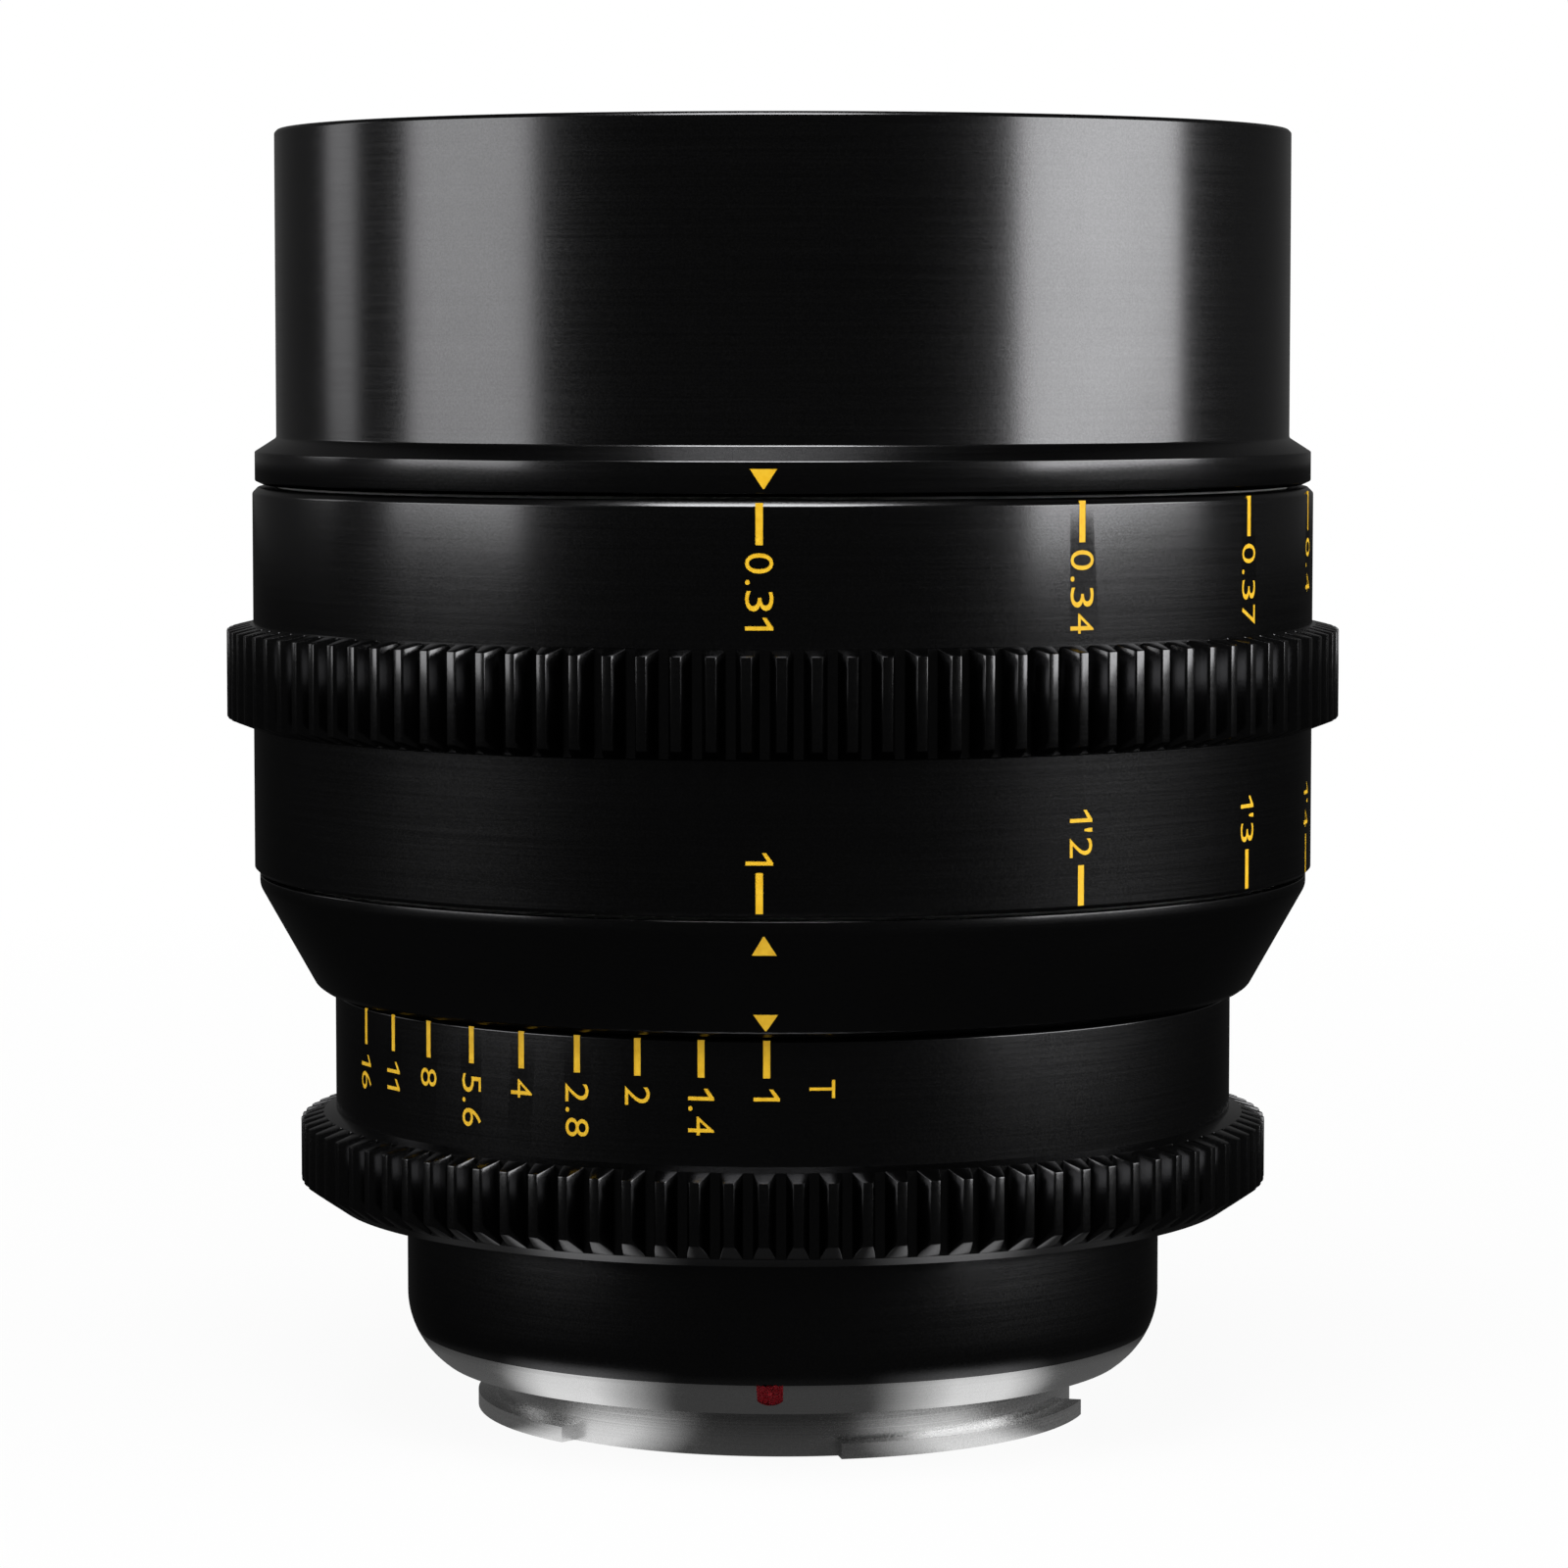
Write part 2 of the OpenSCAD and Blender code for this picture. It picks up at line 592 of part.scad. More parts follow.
iris_gear_top = iris_z + iris_gear_h;
iris_gear_slope = iris_gear_fall / (iris_tip_r - iris_r);
iris_gear_under = iris_gear_rise / (iris_tip_r - iris_r);
iris_bore = main_mid_r + free_gap;
module iris_ring() color([0.06, 0.06, 0.06]) difference() {
    union() {
        turned([[main_rear_r + run_gap, iris_z], [iris_r, iris_z], [iris_r, iris_top - ring_edge],
            [iris_r - ring_edge, iris_top], [iris_bore, iris_top], [iris_bore, iris_z + iris_web],
            [main_rear_r + run_gap, iris_z + iris_web]]);
        toothed_band(iris_teeth, iris_tooth_angle, iris_r - band_lap, iris_z, iris_gear_top, [
            [iris_r - band_lap - over, iris_z], [iris_r, iris_z],
            [iris_tip_r + over, iris_z + iris_gear_under * (iris_tip_r + over - iris_r)],
            [iris_tip_r + over, iris_gear_top - iris_gear_slope * (iris_tip_r + over - iris_r)],
            [iris_r, iris_gear_top], [iris_r - band_lap - over, iris_gear_top]]);
    }
    rotate([0, 0, drive_angle]) translate([main_mid_r - over, -drive_pin_r - run_gap,
        drive_pin_z - focus_travel - drive_pin_r - free_gap])
        cube([over + free_gap + drive_pin_reach + free_gap, 2 * (drive_pin_r + run_gap), iris_len]);
}

module lens_carriage() color([0.25, 0.25, 0.27]) difference() {
    turned([[rear_neck_r + seat_gap, carriage_z], [carriage_r, carriage_z], [carriage_r, carriage_step_z],
        [carriage_front_r, carriage_step_z], [carriage_front_r, carriage_top],
        [carriage_front_bore, carriage_top], [carriage_front_bore, cell_seat_z],
        [carriage_bore, cell_seat_z], [carriage_bore, base_z], [rear_neck_r + seat_gap, base_z]]);
    arc_block(carriage_bore - over, carriage_r + over, drive_pin_z - drive_pin_r - free_gap,
        drive_pin_z + drive_pin_r + free_gap, drive_angle - drive_slack, iris_turn + 2 * drive_slack);
    around(key_count, key_angle)
        radial_bar(key_screw_r + seat_gap, carriage_front_bore - over, carriage_front_r + over,
            key_z + key_h / 2, 0);
}

key_head_rim = 0.9;
key_head_r = key_screw_r + key_head_rim;
key_head_h = 1;
module follower_keys() color("goldenrod") around(key_count, key_angle) difference() {
    intersection() {
        plain_ring(carriage_front_r + seat_gap, key_r, key_z, key_z + key_h);
        translate([0, -key_w / 2, key_z - over]) cube([key_r + over, key_w, key_h + 2 * over]);
    }
    radial_bar(key_screw_r + seat_gap, carriage_front_r - over, key_r + over, key_z + key_h / 2, 0);
    radial_bar(key_head_r + seat_gap, key_r - key_head_h - free_gap, key_r + over, key_z + key_h / 2, 0);
}

module key_screws() color("silver") around(key_count, key_angle) {
    radial_bar(key_screw_r, carriage_front_bore + seat_gap, key_r - free_gap, key_z + key_h / 2, 0);
    radial_bar(key_head_r, key_r - key_head_h - free_gap + seat_gap, key_r - free_gap, key_z + key_h / 2, 0);
}

// Height of an element's front or back surface at a radius
function front_at(i, r) = let (vertex = glass_z[i] + glass_t[i])
    vertex - sign(glass_front[i]) * sag(glass_front[i], r);
function back_at(i, r) = glass_z[i] + sign(glass_back[i]) * sag(glass_back[i], r);

seat_1 = glass_z[0] - sag(glass_back[0], hollow_r(0) - edge_flat);
front_seat_r = glass_r[3] - 2 * ring_wall;
ring_bore = glass_r[5] - ring_wall;
retainer_z = front_at(0, glass_r[0] - front_lip) + free_gap;
retainer_r = glass_r[0] + cell_drop;
module front_cell() color([0.05, 0.05, 0.05]) turned([
    [glass_r[6] + seat_gap, cell_low], [cell_neck_r, cell_low], [cell_neck_r, cell_seat_z],
    [cell_r, cell_seat_z], [cell_r, cell_top], [retainer_r + seat_gap, cell_top],
    [retainer_r + seat_gap, retainer_z - seat_gap], [glass_r[0] + seat_gap, retainer_z - seat_gap],
    [glass_r[0] + seat_gap, seat_1 - seat_gap], [glass_r[1] + seat_gap, seat_1 - seat_gap],
    [glass_r[1] + seat_gap, flat_2 - seat_gap], [glass_r[3] + seat_gap, flat_2 - seat_gap],
    [glass_r[3] + seat_gap, back_at(3, front_seat_r) - seat_gap],
    [front_seat_r, back_at(3, front_seat_r) - seat_gap],
    [front_seat_r, front_at(4, front_seat_r) + seat_gap],
    [glass_r[4] + seat_gap, front_at(4, front_seat_r) + seat_gap]]);

module rear_cell() color([0.05, 0.05, 0.05]) turned([
    [glass_r[9] + seat_gap, rear_cell_z], [rear_cell_r, rear_cell_z],
    [rear_cell_r, carriage_z - rear_flange_t], [rear_flange_r, carriage_z - rear_flange_t],
    [rear_flange_r, carriage_z], [rear_neck_r, carriage_z], [rear_neck_r, rear_cell_top],
    [hollow_r(7), rear_cell_top], [hollow_r(7), rear_cell_top - rear_lip],
    [glass_r[7] + seat_gap, rear_cell_top - rear_lip]]);

// Ball that stands for one polished surface
module surface_ball(radius, z) {
    translate([0, 0, z]) sphere(r = abs(radius), $fn = ball_facets);
}

// One element: a disc cut by its two surfaces, with a flat rim around a hollow one
module element(i, flat_r) color([0.55, 0.6, 0.75, 0.5]) {
    z_back = glass_z[i];
    z_front = z_back + glass_t[i];
    f = glass_front[i];
    b = glass_back[i];
    low = b > 0 ? z_back : back_at(i, flat_r);
    high = f > 0 ? z_front : front_at(i, flat_r);
    difference() {
        intersection() {
            translate([0, 0, low]) cylinder(r = glass_r[i], h = high - low);
            if (f > 0) surface_ball(f, z_front - f);
            if (b > 0) surface_ball(b, z_back + b);
        }
        if (f < 0) surface_ball(f, z_front - f);
        if (b < 0) surface_ball(b, z_back + b);
    }
}

module element_1() element(0, hollow_r(0) - edge_flat);
module element_2() element(1, hollow_r(1) - wide_flat);
module element_3() element(2, hollow_r(2));
module element_4() element(3, glass_r[3]);
module element_5() element(4, glass_r[4]);
module element_6() element(5, glass_r[5]);
module element_7() element(6, hollow_r(6));
module element_8() element(7, hollow_r(7));
module element_9() element(8, glass_r[8]);
module element_10() element(9, hollow_r(9));

module front_retainer() color([0.04, 0.04, 0.04]) turned([[glass_r[0] - front_lip, retainer_z],
    [retainer_r, retainer_z], [retainer_r, cell_top], [glass_r[0] - front_lip_top, cell_top]]);

module second_retainer() color([0.04, 0.04, 0.04])
    plain_ring(glass_r[1] - ring_wall, glass_r[1], front_at(1, glass_r[1] - ring_wall) + seat_gap,
        front_at(1, glass_r[1] - ring_wall) + seat_gap + thin_ring_h);

module middle_retainer() color([0.04, 0.04, 0.04])
    plain_ring(glass_r[2] - ring_wall, glass_r[2], top_3 + seat_gap, top_3 + thin_ring_h);

module spacer_5_6() color([0.04, 0.04, 0.04])
    plain_ring(ring_bore, glass_r[5], front_at(5, ring_bore) + seat_gap, back_at(4, ring_bore) - seat_gap);

module spacer_6_7() color([0.04, 0.04, 0.04])
    plain_ring(ring_bore, glass_r[5], front_at(6, ring_bore) + seat_gap, back_at(5, ring_bore) - seat_gap);

module inner_retainer() color([0.04, 0.04, 0.04])
    plain_ring(ring_bore, glass_r[6], cell_low + end_gap, back_at(6, hollow_r(6)) - seat_gap);

rear_ring_bore = glass_r[9] - ring_wall;
module rear_spacer() color([0.04, 0.04, 0.04]) plain_ring(rear_ring_bore, glass_r[9],
    front_at(9, rear_ring_bore) + seat_gap, back_at(8, rear_ring_bore) - seat_gap);

module rear_retainer() color([0.04, 0.04, 0.04])
    plain_ring(rear_ring_bore, glass_r[9], rear_cell_z, flat_10 - seat_gap);

module iris_base_plate() color([0.1, 0.1, 0.1]) difference() {
    plain_ring(aperture_r, carriage_bore - seat_gap, base_z, base_z + base_t);
    around(blade_count) translate([pivot_r, 0, base_z + run_gap])
        cylinder(r = blade_pin_r + seat_gap, h = base_t);
}

// Path of a blade's drive pin, seen from the turning actuator
function turn(p, a) = [p[0] * cos(a) - p[1] * sin(a), p[0] * sin(a) + p[1] * cos(a)];
pivot = [pivot_r, 0];
pin_rest = pivot_r * [cos(pin_offset), sin(pin_offset)];
function pin_path(a) = turn(pivot + turn(pin_rest - pivot, blade_ratio * a), -a);
function slot_side(a, side) =
    let (d = pin_path(a + 0.1) - pin_path(a - 0.1))
    pin_path(a) + side * slot_r / norm(d) * [-d[1], d[0]];
slot_steps = 14;
slot_slack = 0.03;
module cam_slot() translate([0, 0, actuator_z - over]) {
    linear_extrude(actuator_t + 2 * over) polygon(concat(
        [for (j = [0:slot_steps]) slot_side(iris_turn * j / slot_steps, 1)],
        [for (j = [slot_steps:-1:0]) slot_side(iris_turn * j / slot_steps, -1)]));
    for (a = [0, iris_turn]) translate(pin_path(a))
        cylinder(r = slot_r + slot_slack, h = actuator_t + 2 * over);
}

module iris_actuator() color([0.35, 0.35, 0.36]) difference() {
    turned([[aperture_r, actuator_z], [actuator_r, actuator_z], [actuator_r, actuator_z + actuator_rim_h],
        [actuator_r - actuator_rim, actuator_z + actuator_rim_h],
        [actuator_r - actuator_rim, actuator_z + actuator_t], [aperture_r, actuator_z + actuator_t]]);
    around(blade_count) cam_slot();
    radial_bar(drive_pin_r + seat_gap, actuator_r - actuator_rim - over, actuator_r + over,
        drive_pin_z, drive_angle);
}

module iris_drive_pin() color("silver") radial_bar(drive_pin_r, actuator_r - actuator_rim + seat_gap,
    iris_bore + drive_pin_reach, drive_pin_z, drive_angle);

// One blade: a curved band, an ear with both pins, and its own level in the stack
ear_end = 2.6;
ear_lap = 0.5;
next_pin = pivot + turn(turn(pivot + turn(pin_rest - pivot, blade_swing), -blade_pitch) - pivot, -blade_swing);
band_from = atan2(next_pin[1], next_pin[0]);
module iris_blade(i) color([0.12, 0.12, 0.13]) rotate([0, 0, i * blade_pitch]) {
    level = blade_z + i * blade_step;
    arc_block(blade_in, blade_in + blade_w, level, level + blade_t, band_from, blade_span - band_from);
    arc_block(blade_in + blade_w - ear_lap, pivot_r + ear_margin, level, level + blade_t,
        -ear_end, pin_offset + 2 * ear_end);
    translate([pivot_r, 0, base_z + 2 * run_gap])
        cylinder(r = blade_pin_r, h = level + blade_t - base_z - 2 * run_gap);
    translate([pin_rest[0], pin_rest[1], level])
        cylinder(r = blade_pin_r, h = actuator_z + actuator_t - run_gap - level);
}

bayonet_ring();
mount_index_dot();
mount_screws();
rear_barrel();
rear_baffle();
main_barrel();
cone_housing();
cone_screws();
rear_thrust_washer();
front_thrust_washer();
focus_stop_pin();
front_barrel();
front_trim_ring();
focus_ring();
helicoid_sleeve();
iris_ring();
lens_carriage();
follower_keys();
key_screws();
front_cell();
rear_cell();
element_1();
element_2();
element_3();
element_4();
element_5();
element_6();
element_7();
element_8();
element_9();
element_10();
front_retainer();
second_retainer();
middle_retainer();
spacer_5_6();
spacer_6_7();
inner_retainer();
rear_spacer();
rear_retainer();
iris_base_plate();
iris_actuator();
iris_drive_pin();
for (i = [0:blade_count - 1])
    iris_blade(i);
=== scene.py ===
import math

import bmesh
import bpy
from mathutils import Matrix, Vector


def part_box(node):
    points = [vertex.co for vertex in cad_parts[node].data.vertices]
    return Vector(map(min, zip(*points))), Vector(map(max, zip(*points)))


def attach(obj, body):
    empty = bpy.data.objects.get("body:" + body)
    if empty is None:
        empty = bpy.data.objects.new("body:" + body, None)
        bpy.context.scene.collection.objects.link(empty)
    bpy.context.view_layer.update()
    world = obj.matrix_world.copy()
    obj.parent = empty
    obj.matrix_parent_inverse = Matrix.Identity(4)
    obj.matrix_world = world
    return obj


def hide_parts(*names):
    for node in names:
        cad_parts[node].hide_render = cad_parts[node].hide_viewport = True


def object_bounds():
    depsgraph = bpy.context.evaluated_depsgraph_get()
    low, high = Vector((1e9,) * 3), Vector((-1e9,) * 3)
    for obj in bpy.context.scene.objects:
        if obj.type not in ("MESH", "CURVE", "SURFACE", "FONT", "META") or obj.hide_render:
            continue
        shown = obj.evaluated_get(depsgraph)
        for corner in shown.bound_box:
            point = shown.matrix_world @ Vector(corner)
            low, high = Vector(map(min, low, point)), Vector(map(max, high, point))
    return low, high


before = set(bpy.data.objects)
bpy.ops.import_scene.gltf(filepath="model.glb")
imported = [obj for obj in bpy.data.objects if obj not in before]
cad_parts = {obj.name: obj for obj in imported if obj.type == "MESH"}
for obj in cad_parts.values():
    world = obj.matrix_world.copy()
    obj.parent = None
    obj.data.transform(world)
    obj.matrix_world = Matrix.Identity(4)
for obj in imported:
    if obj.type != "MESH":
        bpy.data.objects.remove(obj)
cad_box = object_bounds()
bpy.ops.object.select_all(action="DESELECT")

# Main barrel: the stepped aluminium tube that carries every other piece, with the guide slots for the focus
# keys and the window for the iris pin. Turned and milled, then anodised a dull black so that it throws no light
# about inside. Its CAD shape is right, so it only takes its finish here.
MM = 0.001


def socket(tree, name, way, kind, value=None):
    made = tree.interface.new_socket(name=name, in_out=way, socket_type=kind)
    if value is not None:
        made.default_value = value
    return made


def link(tree, source, target):
    tree.links.new(source, target)


def sum_of(tree, a, b, operation="ADD"):
    """A Math node on two inputs, each a socket or a number."""
    node = tree.nodes.new("ShaderNodeMath")
    node.operation = operation
    for slot_in, given in zip(node.inputs, (a, b)):
        if isinstance(given, (int, float)):
            slot_in.default_value = given
        else:
            link(tree, given, slot_in)
    return node.outputs[0]


def noise(tree, coordinates, scale, detail=2.0, stretch=(1.0, 1.0, 1.0)):
    """Noise on object coordinates in metres, stretched along the axes."""
    place = tree.nodes.new("ShaderNodeMapping")
    place.inputs["Scale"].default_value = stretch
    link(tree, coordinates, place.inputs["Vector"])
    made = tree.nodes.new("ShaderNodeTexNoise")
    made.inputs["Scale"].default_value = scale
    made.inputs["Detail"].default_value = detail
    link(tree, place.outputs[0], made.inputs["Vector"])
    return made.outputs["Fac"]


# What a lathe and an acid etch leave on aluminium: fine rings around the axis, a fine grain, and a slow cloud.
lathe_skin = bpy.data.node_groups.new("lathe_skin", "ShaderNodeTree")
socket(lathe_skin, "Ring Depth", "INPUT", "NodeSocketFloat", 0.5)
socket(lathe_skin, "Grain Depth", "INPUT", "NodeSocketFloat", 0.5)
socket(lathe_skin, "Height", "OUTPUT", "NodeSocketFloat")
socket(lathe_skin, "Rings", "OUTPUT", "NodeSocketFloat")
socket(lathe_skin, "Grain", "OUTPUT", "NodeSocketFloat")
socket(lathe_skin, "Cloud", "OUTPUT", "NodeSocketFloat")
skin_in = lathe_skin.nodes.new("NodeGroupInput")
skin_out = lathe_skin.nodes.new("NodeGroupOutput")
skin_place = lathe_skin.nodes.new("ShaderNodeTexCoord").outputs["Object"]
skin_rings = noise(lathe_skin, skin_place, 1.0, 3.0, (60.0, 60.0, 6000.0))
skin_grain = noise(lathe_skin, skin_place, 6500.0, 2.0)
skin_cloud = noise(lathe_skin, skin_place, 55.0, 3.0)
link(lathe_skin, sum_of(lathe_skin,
                        sum_of(lathe_skin, skin_rings, skin_in.outputs["Ring Depth"], "MULTIPLY"),
                        sum_of(lathe_skin, skin_grain, skin_in.outputs["Grain Depth"], "MULTIPLY")),
     skin_out.inputs["Height"])
link(lathe_skin, skin_rings, skin_out.inputs["Rings"])
link(lathe_skin, skin_grain, skin_out.inputs["Grain"])
link(lathe_skin, skin_cloud, skin_out.inputs["Cloud"])


def between(tree, value, low, high, start=0.3, end=0.7):
    """A value that runs from start to end, stretched to run from low to high."""
    node = tree.nodes.new("ShaderNodeMapRange")
    node.inputs["From Min"].default_value = start
    node.inputs["From Max"].default_value = end
    node.inputs["To Min"].default_value = low
    node.inputs["To Max"].default_value = high
    link(tree, value, node.inputs["Value"])
    return node.outputs["Result"]


def two_tone(tree, value, first, second):
    """A colour that goes from the first to the second as the value goes from 0 to 1."""
    node = tree.nodes.new("ShaderNodeMix")
    node.data_type = "RGBA"
    for s in node.inputs:
        if s.name == "A" and s.type == "RGBA":
            s.default_value = (*first, 1.0)
        if s.name == "B" and s.type == "RGBA":
            s.default_value = (*second, 1.0)
    link(tree, value, node.inputs[0])
    return [s for s in node.outputs if s.type == "RGBA"][0]


def lathe_metal(name, dark, light, edge, rough, rings=0.5, grain=0.5, bump=0.1, metallic=1.0):
    """A turned metal: two close tones, roughness between two values, rings and grain as bump."""
    made = bpy.data.materials.new(name)
    made.use_nodes = True
    tree = made.node_tree
    shader = tree.nodes["Principled BSDF"]
    skin = tree.nodes.new("ShaderNodeGroup")
    skin.node_tree = lathe_skin
    skin.inputs["Ring Depth"].default_value = rings
    skin.inputs["Grain Depth"].default_value = grain
    mixed = sum_of(tree, sum_of(tree, skin.outputs["Grain"], 0.6, "MULTIPLY"),
                   sum_of(tree, skin.outputs["Cloud"], 0.4, "MULTIPLY"))
    link(tree, two_tone(tree, between(tree, mixed, 0.0, 1.0), dark, light), shader.inputs["Base Color"])
    worn = sum_of(tree, sum_of(tree, skin.outputs["Rings"], 0.5, "MULTIPLY"),
                  sum_of(tree, skin.outputs["Grain"], 0.5, "MULTIPLY"))
    link(tree, between(tree, worn, *rough), shader.inputs["Roughness"])
    shader.inputs["Metallic"].default_value = metallic
    shader.inputs["Specular Tint"].default_value = (*edge, 1.0)
    lift = tree.nodes.new("ShaderNodeBump")
    lift.inputs["Strength"].default_value = bump
    lift.inputs["Distance"].default_value = 0.02 * MM
    link(tree, skin.outputs["Height"], lift.inputs["Height"])
    link(tree, lift.outputs["Normal"], shader.inputs["Normal"])
    return made


def dress(finish, *nodes):
    """Give carried-over CAD nodes a finish."""
    for node in nodes:
        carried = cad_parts[node]
        carried.data.materials.clear()
        carried.data.materials.append(finish)


dull_black = lathe_metal("dull_black", (0.018, 0.018, 0.019), (0.03, 0.03, 0.031), (0.2, 0.2, 0.2), (0.5, 0.68),
                         rings=0.4, grain=0.8)
dress(dull_black, "main_barrel")

# Lens carriage and cells: aluminium tubes that hold the glass and slide in the main barrel on three keys.
# They are lacquered matt black inside so that light can't glance along them, and screwed together.
flock_black = lathe_metal("flock_black", (0.008, 0.008, 0.009), (0.016, 0.016, 0.017), (0.1, 0.1, 0.1),
                          (0.6, 0.8), rings=0.7, grain=0.6, bump=0.25, metallic=0.0)
dress(flock_black, "lens_carriage", "front_cell", "rear_cell", "front_retainer", "second_retainer",
      "middle_retainer", "spacer_5_6", "spacer_6_7", "inner_retainer", "rear_spacer", "rear_retainer")

# Follower keys and small screws: ground steel keys that run in the axial slots, held by cross-head steel
# screws, together with the stop pin. The steel is left bright, with grinding lines.
ground_steel = lathe_metal("ground_steel", (0.36, 0.36, 0.37), (0.46, 0.46, 0.47), (0.9, 0.9, 0.9), (0.24, 0.36),
                           rings=0.7, grain=0.3)
dress(ground_steel, "follower_keys", "key_screws", "cone_screws", "focus_stop_pin", "iris_drive_pin")

# Glass: ten ground and polished elements, two pairs of them cemented. Each is spun from its two curves at the
# place its CAD node holds, with a ground edge, and has a thin coating that tints what it reflects.


def turned(name, outline, steps=384, smooth=32.0):
    """Extrude a closed outline of (radius, height) or (radius, height, rounding) and spin it about the axis."""
    bpy.ops.object.select_all(action="DESELECT")
    bpy.ops.mesh.primitive_plane_add(size=MM)
    piece = bpy.context.object
    piece.name = piece.data.name = name
    bpy.ops.object.mode_set(mode="EDIT")
    bpy.ops.mesh.merge(type="CENTER")
    bpy.ops.transform.translate(value=(outline[0][0] * MM, 0, outline[0][1] * MM))
    for here, there in zip(outline, list(outline[1:]) + [outline[0]]):
        step = ((there[0] - here[0]) * MM, 0, (there[1] - here[1]) * MM)
        bpy.ops.mesh.extrude_vertices_move(TRANSFORM_OT_translate={"value": step})
    bpy.ops.mesh.select_all(action="SELECT")
    bpy.ops.mesh.remove_doubles(threshold=1e-7)
    for corner in outline:
        if len(corner) > 2:
            bpy.ops.mesh.select_all(action="DESELECT")
            loop = bmesh.from_edit_mesh(piece.data)
            spot = Vector((corner[0] * MM, 0, corner[1] * MM))
            min(loop.verts, key=lambda v: (v.co - spot).length).select = True
            loop.select_flush_mode()
            bmesh.update_edit_mesh(piece.data)
            bpy.ops.mesh.bevel(offset=corner[2] * MM, segments=3, affect="VERTICES", profile=0.5)
    bpy.ops.mesh.select_all(action="SELECT")
    bpy.ops.mesh.spin(steps=steps, angle=math.tau, center=(0, 0, 0), axis=(0, 0, 1))
    bpy.ops.mesh.select_all(action="SELECT")
    bpy.ops.mesh.remove_doubles(threshold=1e-7)
    bpy.ops.mesh.normals_make_consistent(inside=False)
    bpy.ops.object.mode_set(mode="OBJECT")
    bpy.ops.object.shade_smooth_by_angle(angle=math.radians(smooth))
    return piece


def finished(piece, finish, body, slot, *nodes):
    """Give a new piece its finish and body, and let it stand for its CAD nodes."""
    piece.data.materials.clear()
    piece.data.materials.append(finish)
    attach(piece, body)
    if nodes:
        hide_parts(*nodes)
    return piece


def coated_glass(name, tint, film):
    """Polished glass with a coating whose tint shifts a little over the surface."""
    made = bpy.data.materials.new(name)
    made.use_nodes = True
    tree = made.node_tree
    shader = tree.nodes["Principled BSDF"]
    place = tree.nodes.new("ShaderNodeTexCoord").outputs["Object"]
    drift = noise(tree, place, 30.0, 2.0)
    link(tree, two_tone(tree, between(tree, drift, 0.0, 1.0), tint, tuple(c * 0.985 for c in tint)),
         shader.inputs["Base Color"])
    dust = noise(tree, place, 900.0, 2.0)
    link(tree, between(tree, dust, 0.0, 0.02, 0.45, 0.8), shader.inputs["Roughness"])
    shader.inputs["Transmission Weight"].default_value = 1.0
    shader.inputs["IOR"].default_value = 1.52
    shader.inputs["Specular Tint"].default_value = (*film, 1.0)
    return made


green_coat = coated_glass("green_coat", (0.985, 0.99, 0.985), (0.45, 0.75, 0.55))
violet_coat = coated_glass("violet_coat", (0.985, 0.985, 0.99), (0.6, 0.45, 0.8))
amber_coat = coated_glass("amber_coat", (0.99, 0.985, 0.975), (0.85, 0.65, 0.4))
# thickness, front curve, back curve, radius, radius of the curved part
glass_sizes = [(3, 90, -48, 31, 28), (2.5, 70, -30, 26, 21.5), (2, -80, -60, 21, 19.5), (10, 60, 55, 21, 21),
               (7, 50, 120, 19, 19), (8.5, 70, 45, 19, 19), (4, 40, -60, 19, 17.5), (1.6, -60, -70, 17, 15.5),
               (5, 70, 90, 17, 17), (3.4, 60, -200, 17, 15.5)]
for number, (thick, front, back, radius, curved) in enumerate(glass_sizes, 1):
    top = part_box(f"element_{number}")[1][2] / MM

    def sag(curve, r):
        return math.copysign(abs(curve) - math.sqrt(curve * curve - r * r), curve)

    front_z = top + (sag(front, curved) if front < 0 else 0.0)
    back_z = front_z - thick
    outline = []
    reach = radius if front > 0 else curved
    for i in range(17):
        r = reach * i / 16
        outline.append((r, front_z - sag(front, r)))
    if front < 0:
        outline.append((radius, outline[-1][1]))
    reach = radius if back > 0 else curved
    edge_z = back_z + sag(back, reach)
    if back < 0:
        outline.append((radius, edge_z))
    for i in range(16, -1, -1):
        r = reach * i / 16
        outline.append((r, back_z + sag(back, r)))
    element = turned(f"glass_{number}", outline, 160, 40.0)
    finished(element, (green_coat, violet_coat, amber_coat)[number % 3], "optical_unit", "coated_glass",
             f"element_{number}")

# Iris: eleven thin spring-steel blades, blackened and left slightly oily, on a black base plate, swung together
# by the slotted actuator. The CAD shapes stay, with their finishes.
blade_black = lathe_metal("blade_black", (0.02, 0.02, 0.022), (0.035, 0.035, 0.037), (0.3, 0.3, 0.3), (0.34, 0.46),
                          rings=0.2, grain=0.9)
dress(blade_black, *[f"blade_{k:02d}" for k in range(1, 12)])
dress(dull_black, "iris_base_plate", "iris_actuator")

# Helicoid and washers: the brass sleeve whose long thread drives the optical unit, and the two white plastic
# rings that the focus ring turns between.
helicoid_brass = lathe_metal("helicoid_brass", (0.56, 0.38, 0.15), (0.68, 0.48, 0.2), (0.95, 0.9, 0.7),
                             (0.26, 0.4), rings=0.8, grain=0.4)
dress(helicoid_brass, "helicoid_sleeve")
washer_white = lathe_metal("washer_white", (0.72, 0.72, 0.7), (0.8, 0.8, 0.78), (1.0, 1.0, 1.0), (0.45, 0.6),
                           rings=0.4, grain=0.5, metallic=0.0)
dress(washer_white, "rear_thrust_washer", "front_thrust_washer")

# Cone housing: the black aluminium cone between the two rings, turned from bar, bead blasted and anodised, held
# by four screws from inside. It carries the index for each ring as a small painted triangle cut in the skin.
satin_black = lathe_metal("satin_black", (0.08, 0.08, 0.082), (0.115, 0.115, 0.118), (0.6, 0.6, 0.6),
                          (0.16, 0.22), rings=0.25, grain=0.8, bump=0.13)


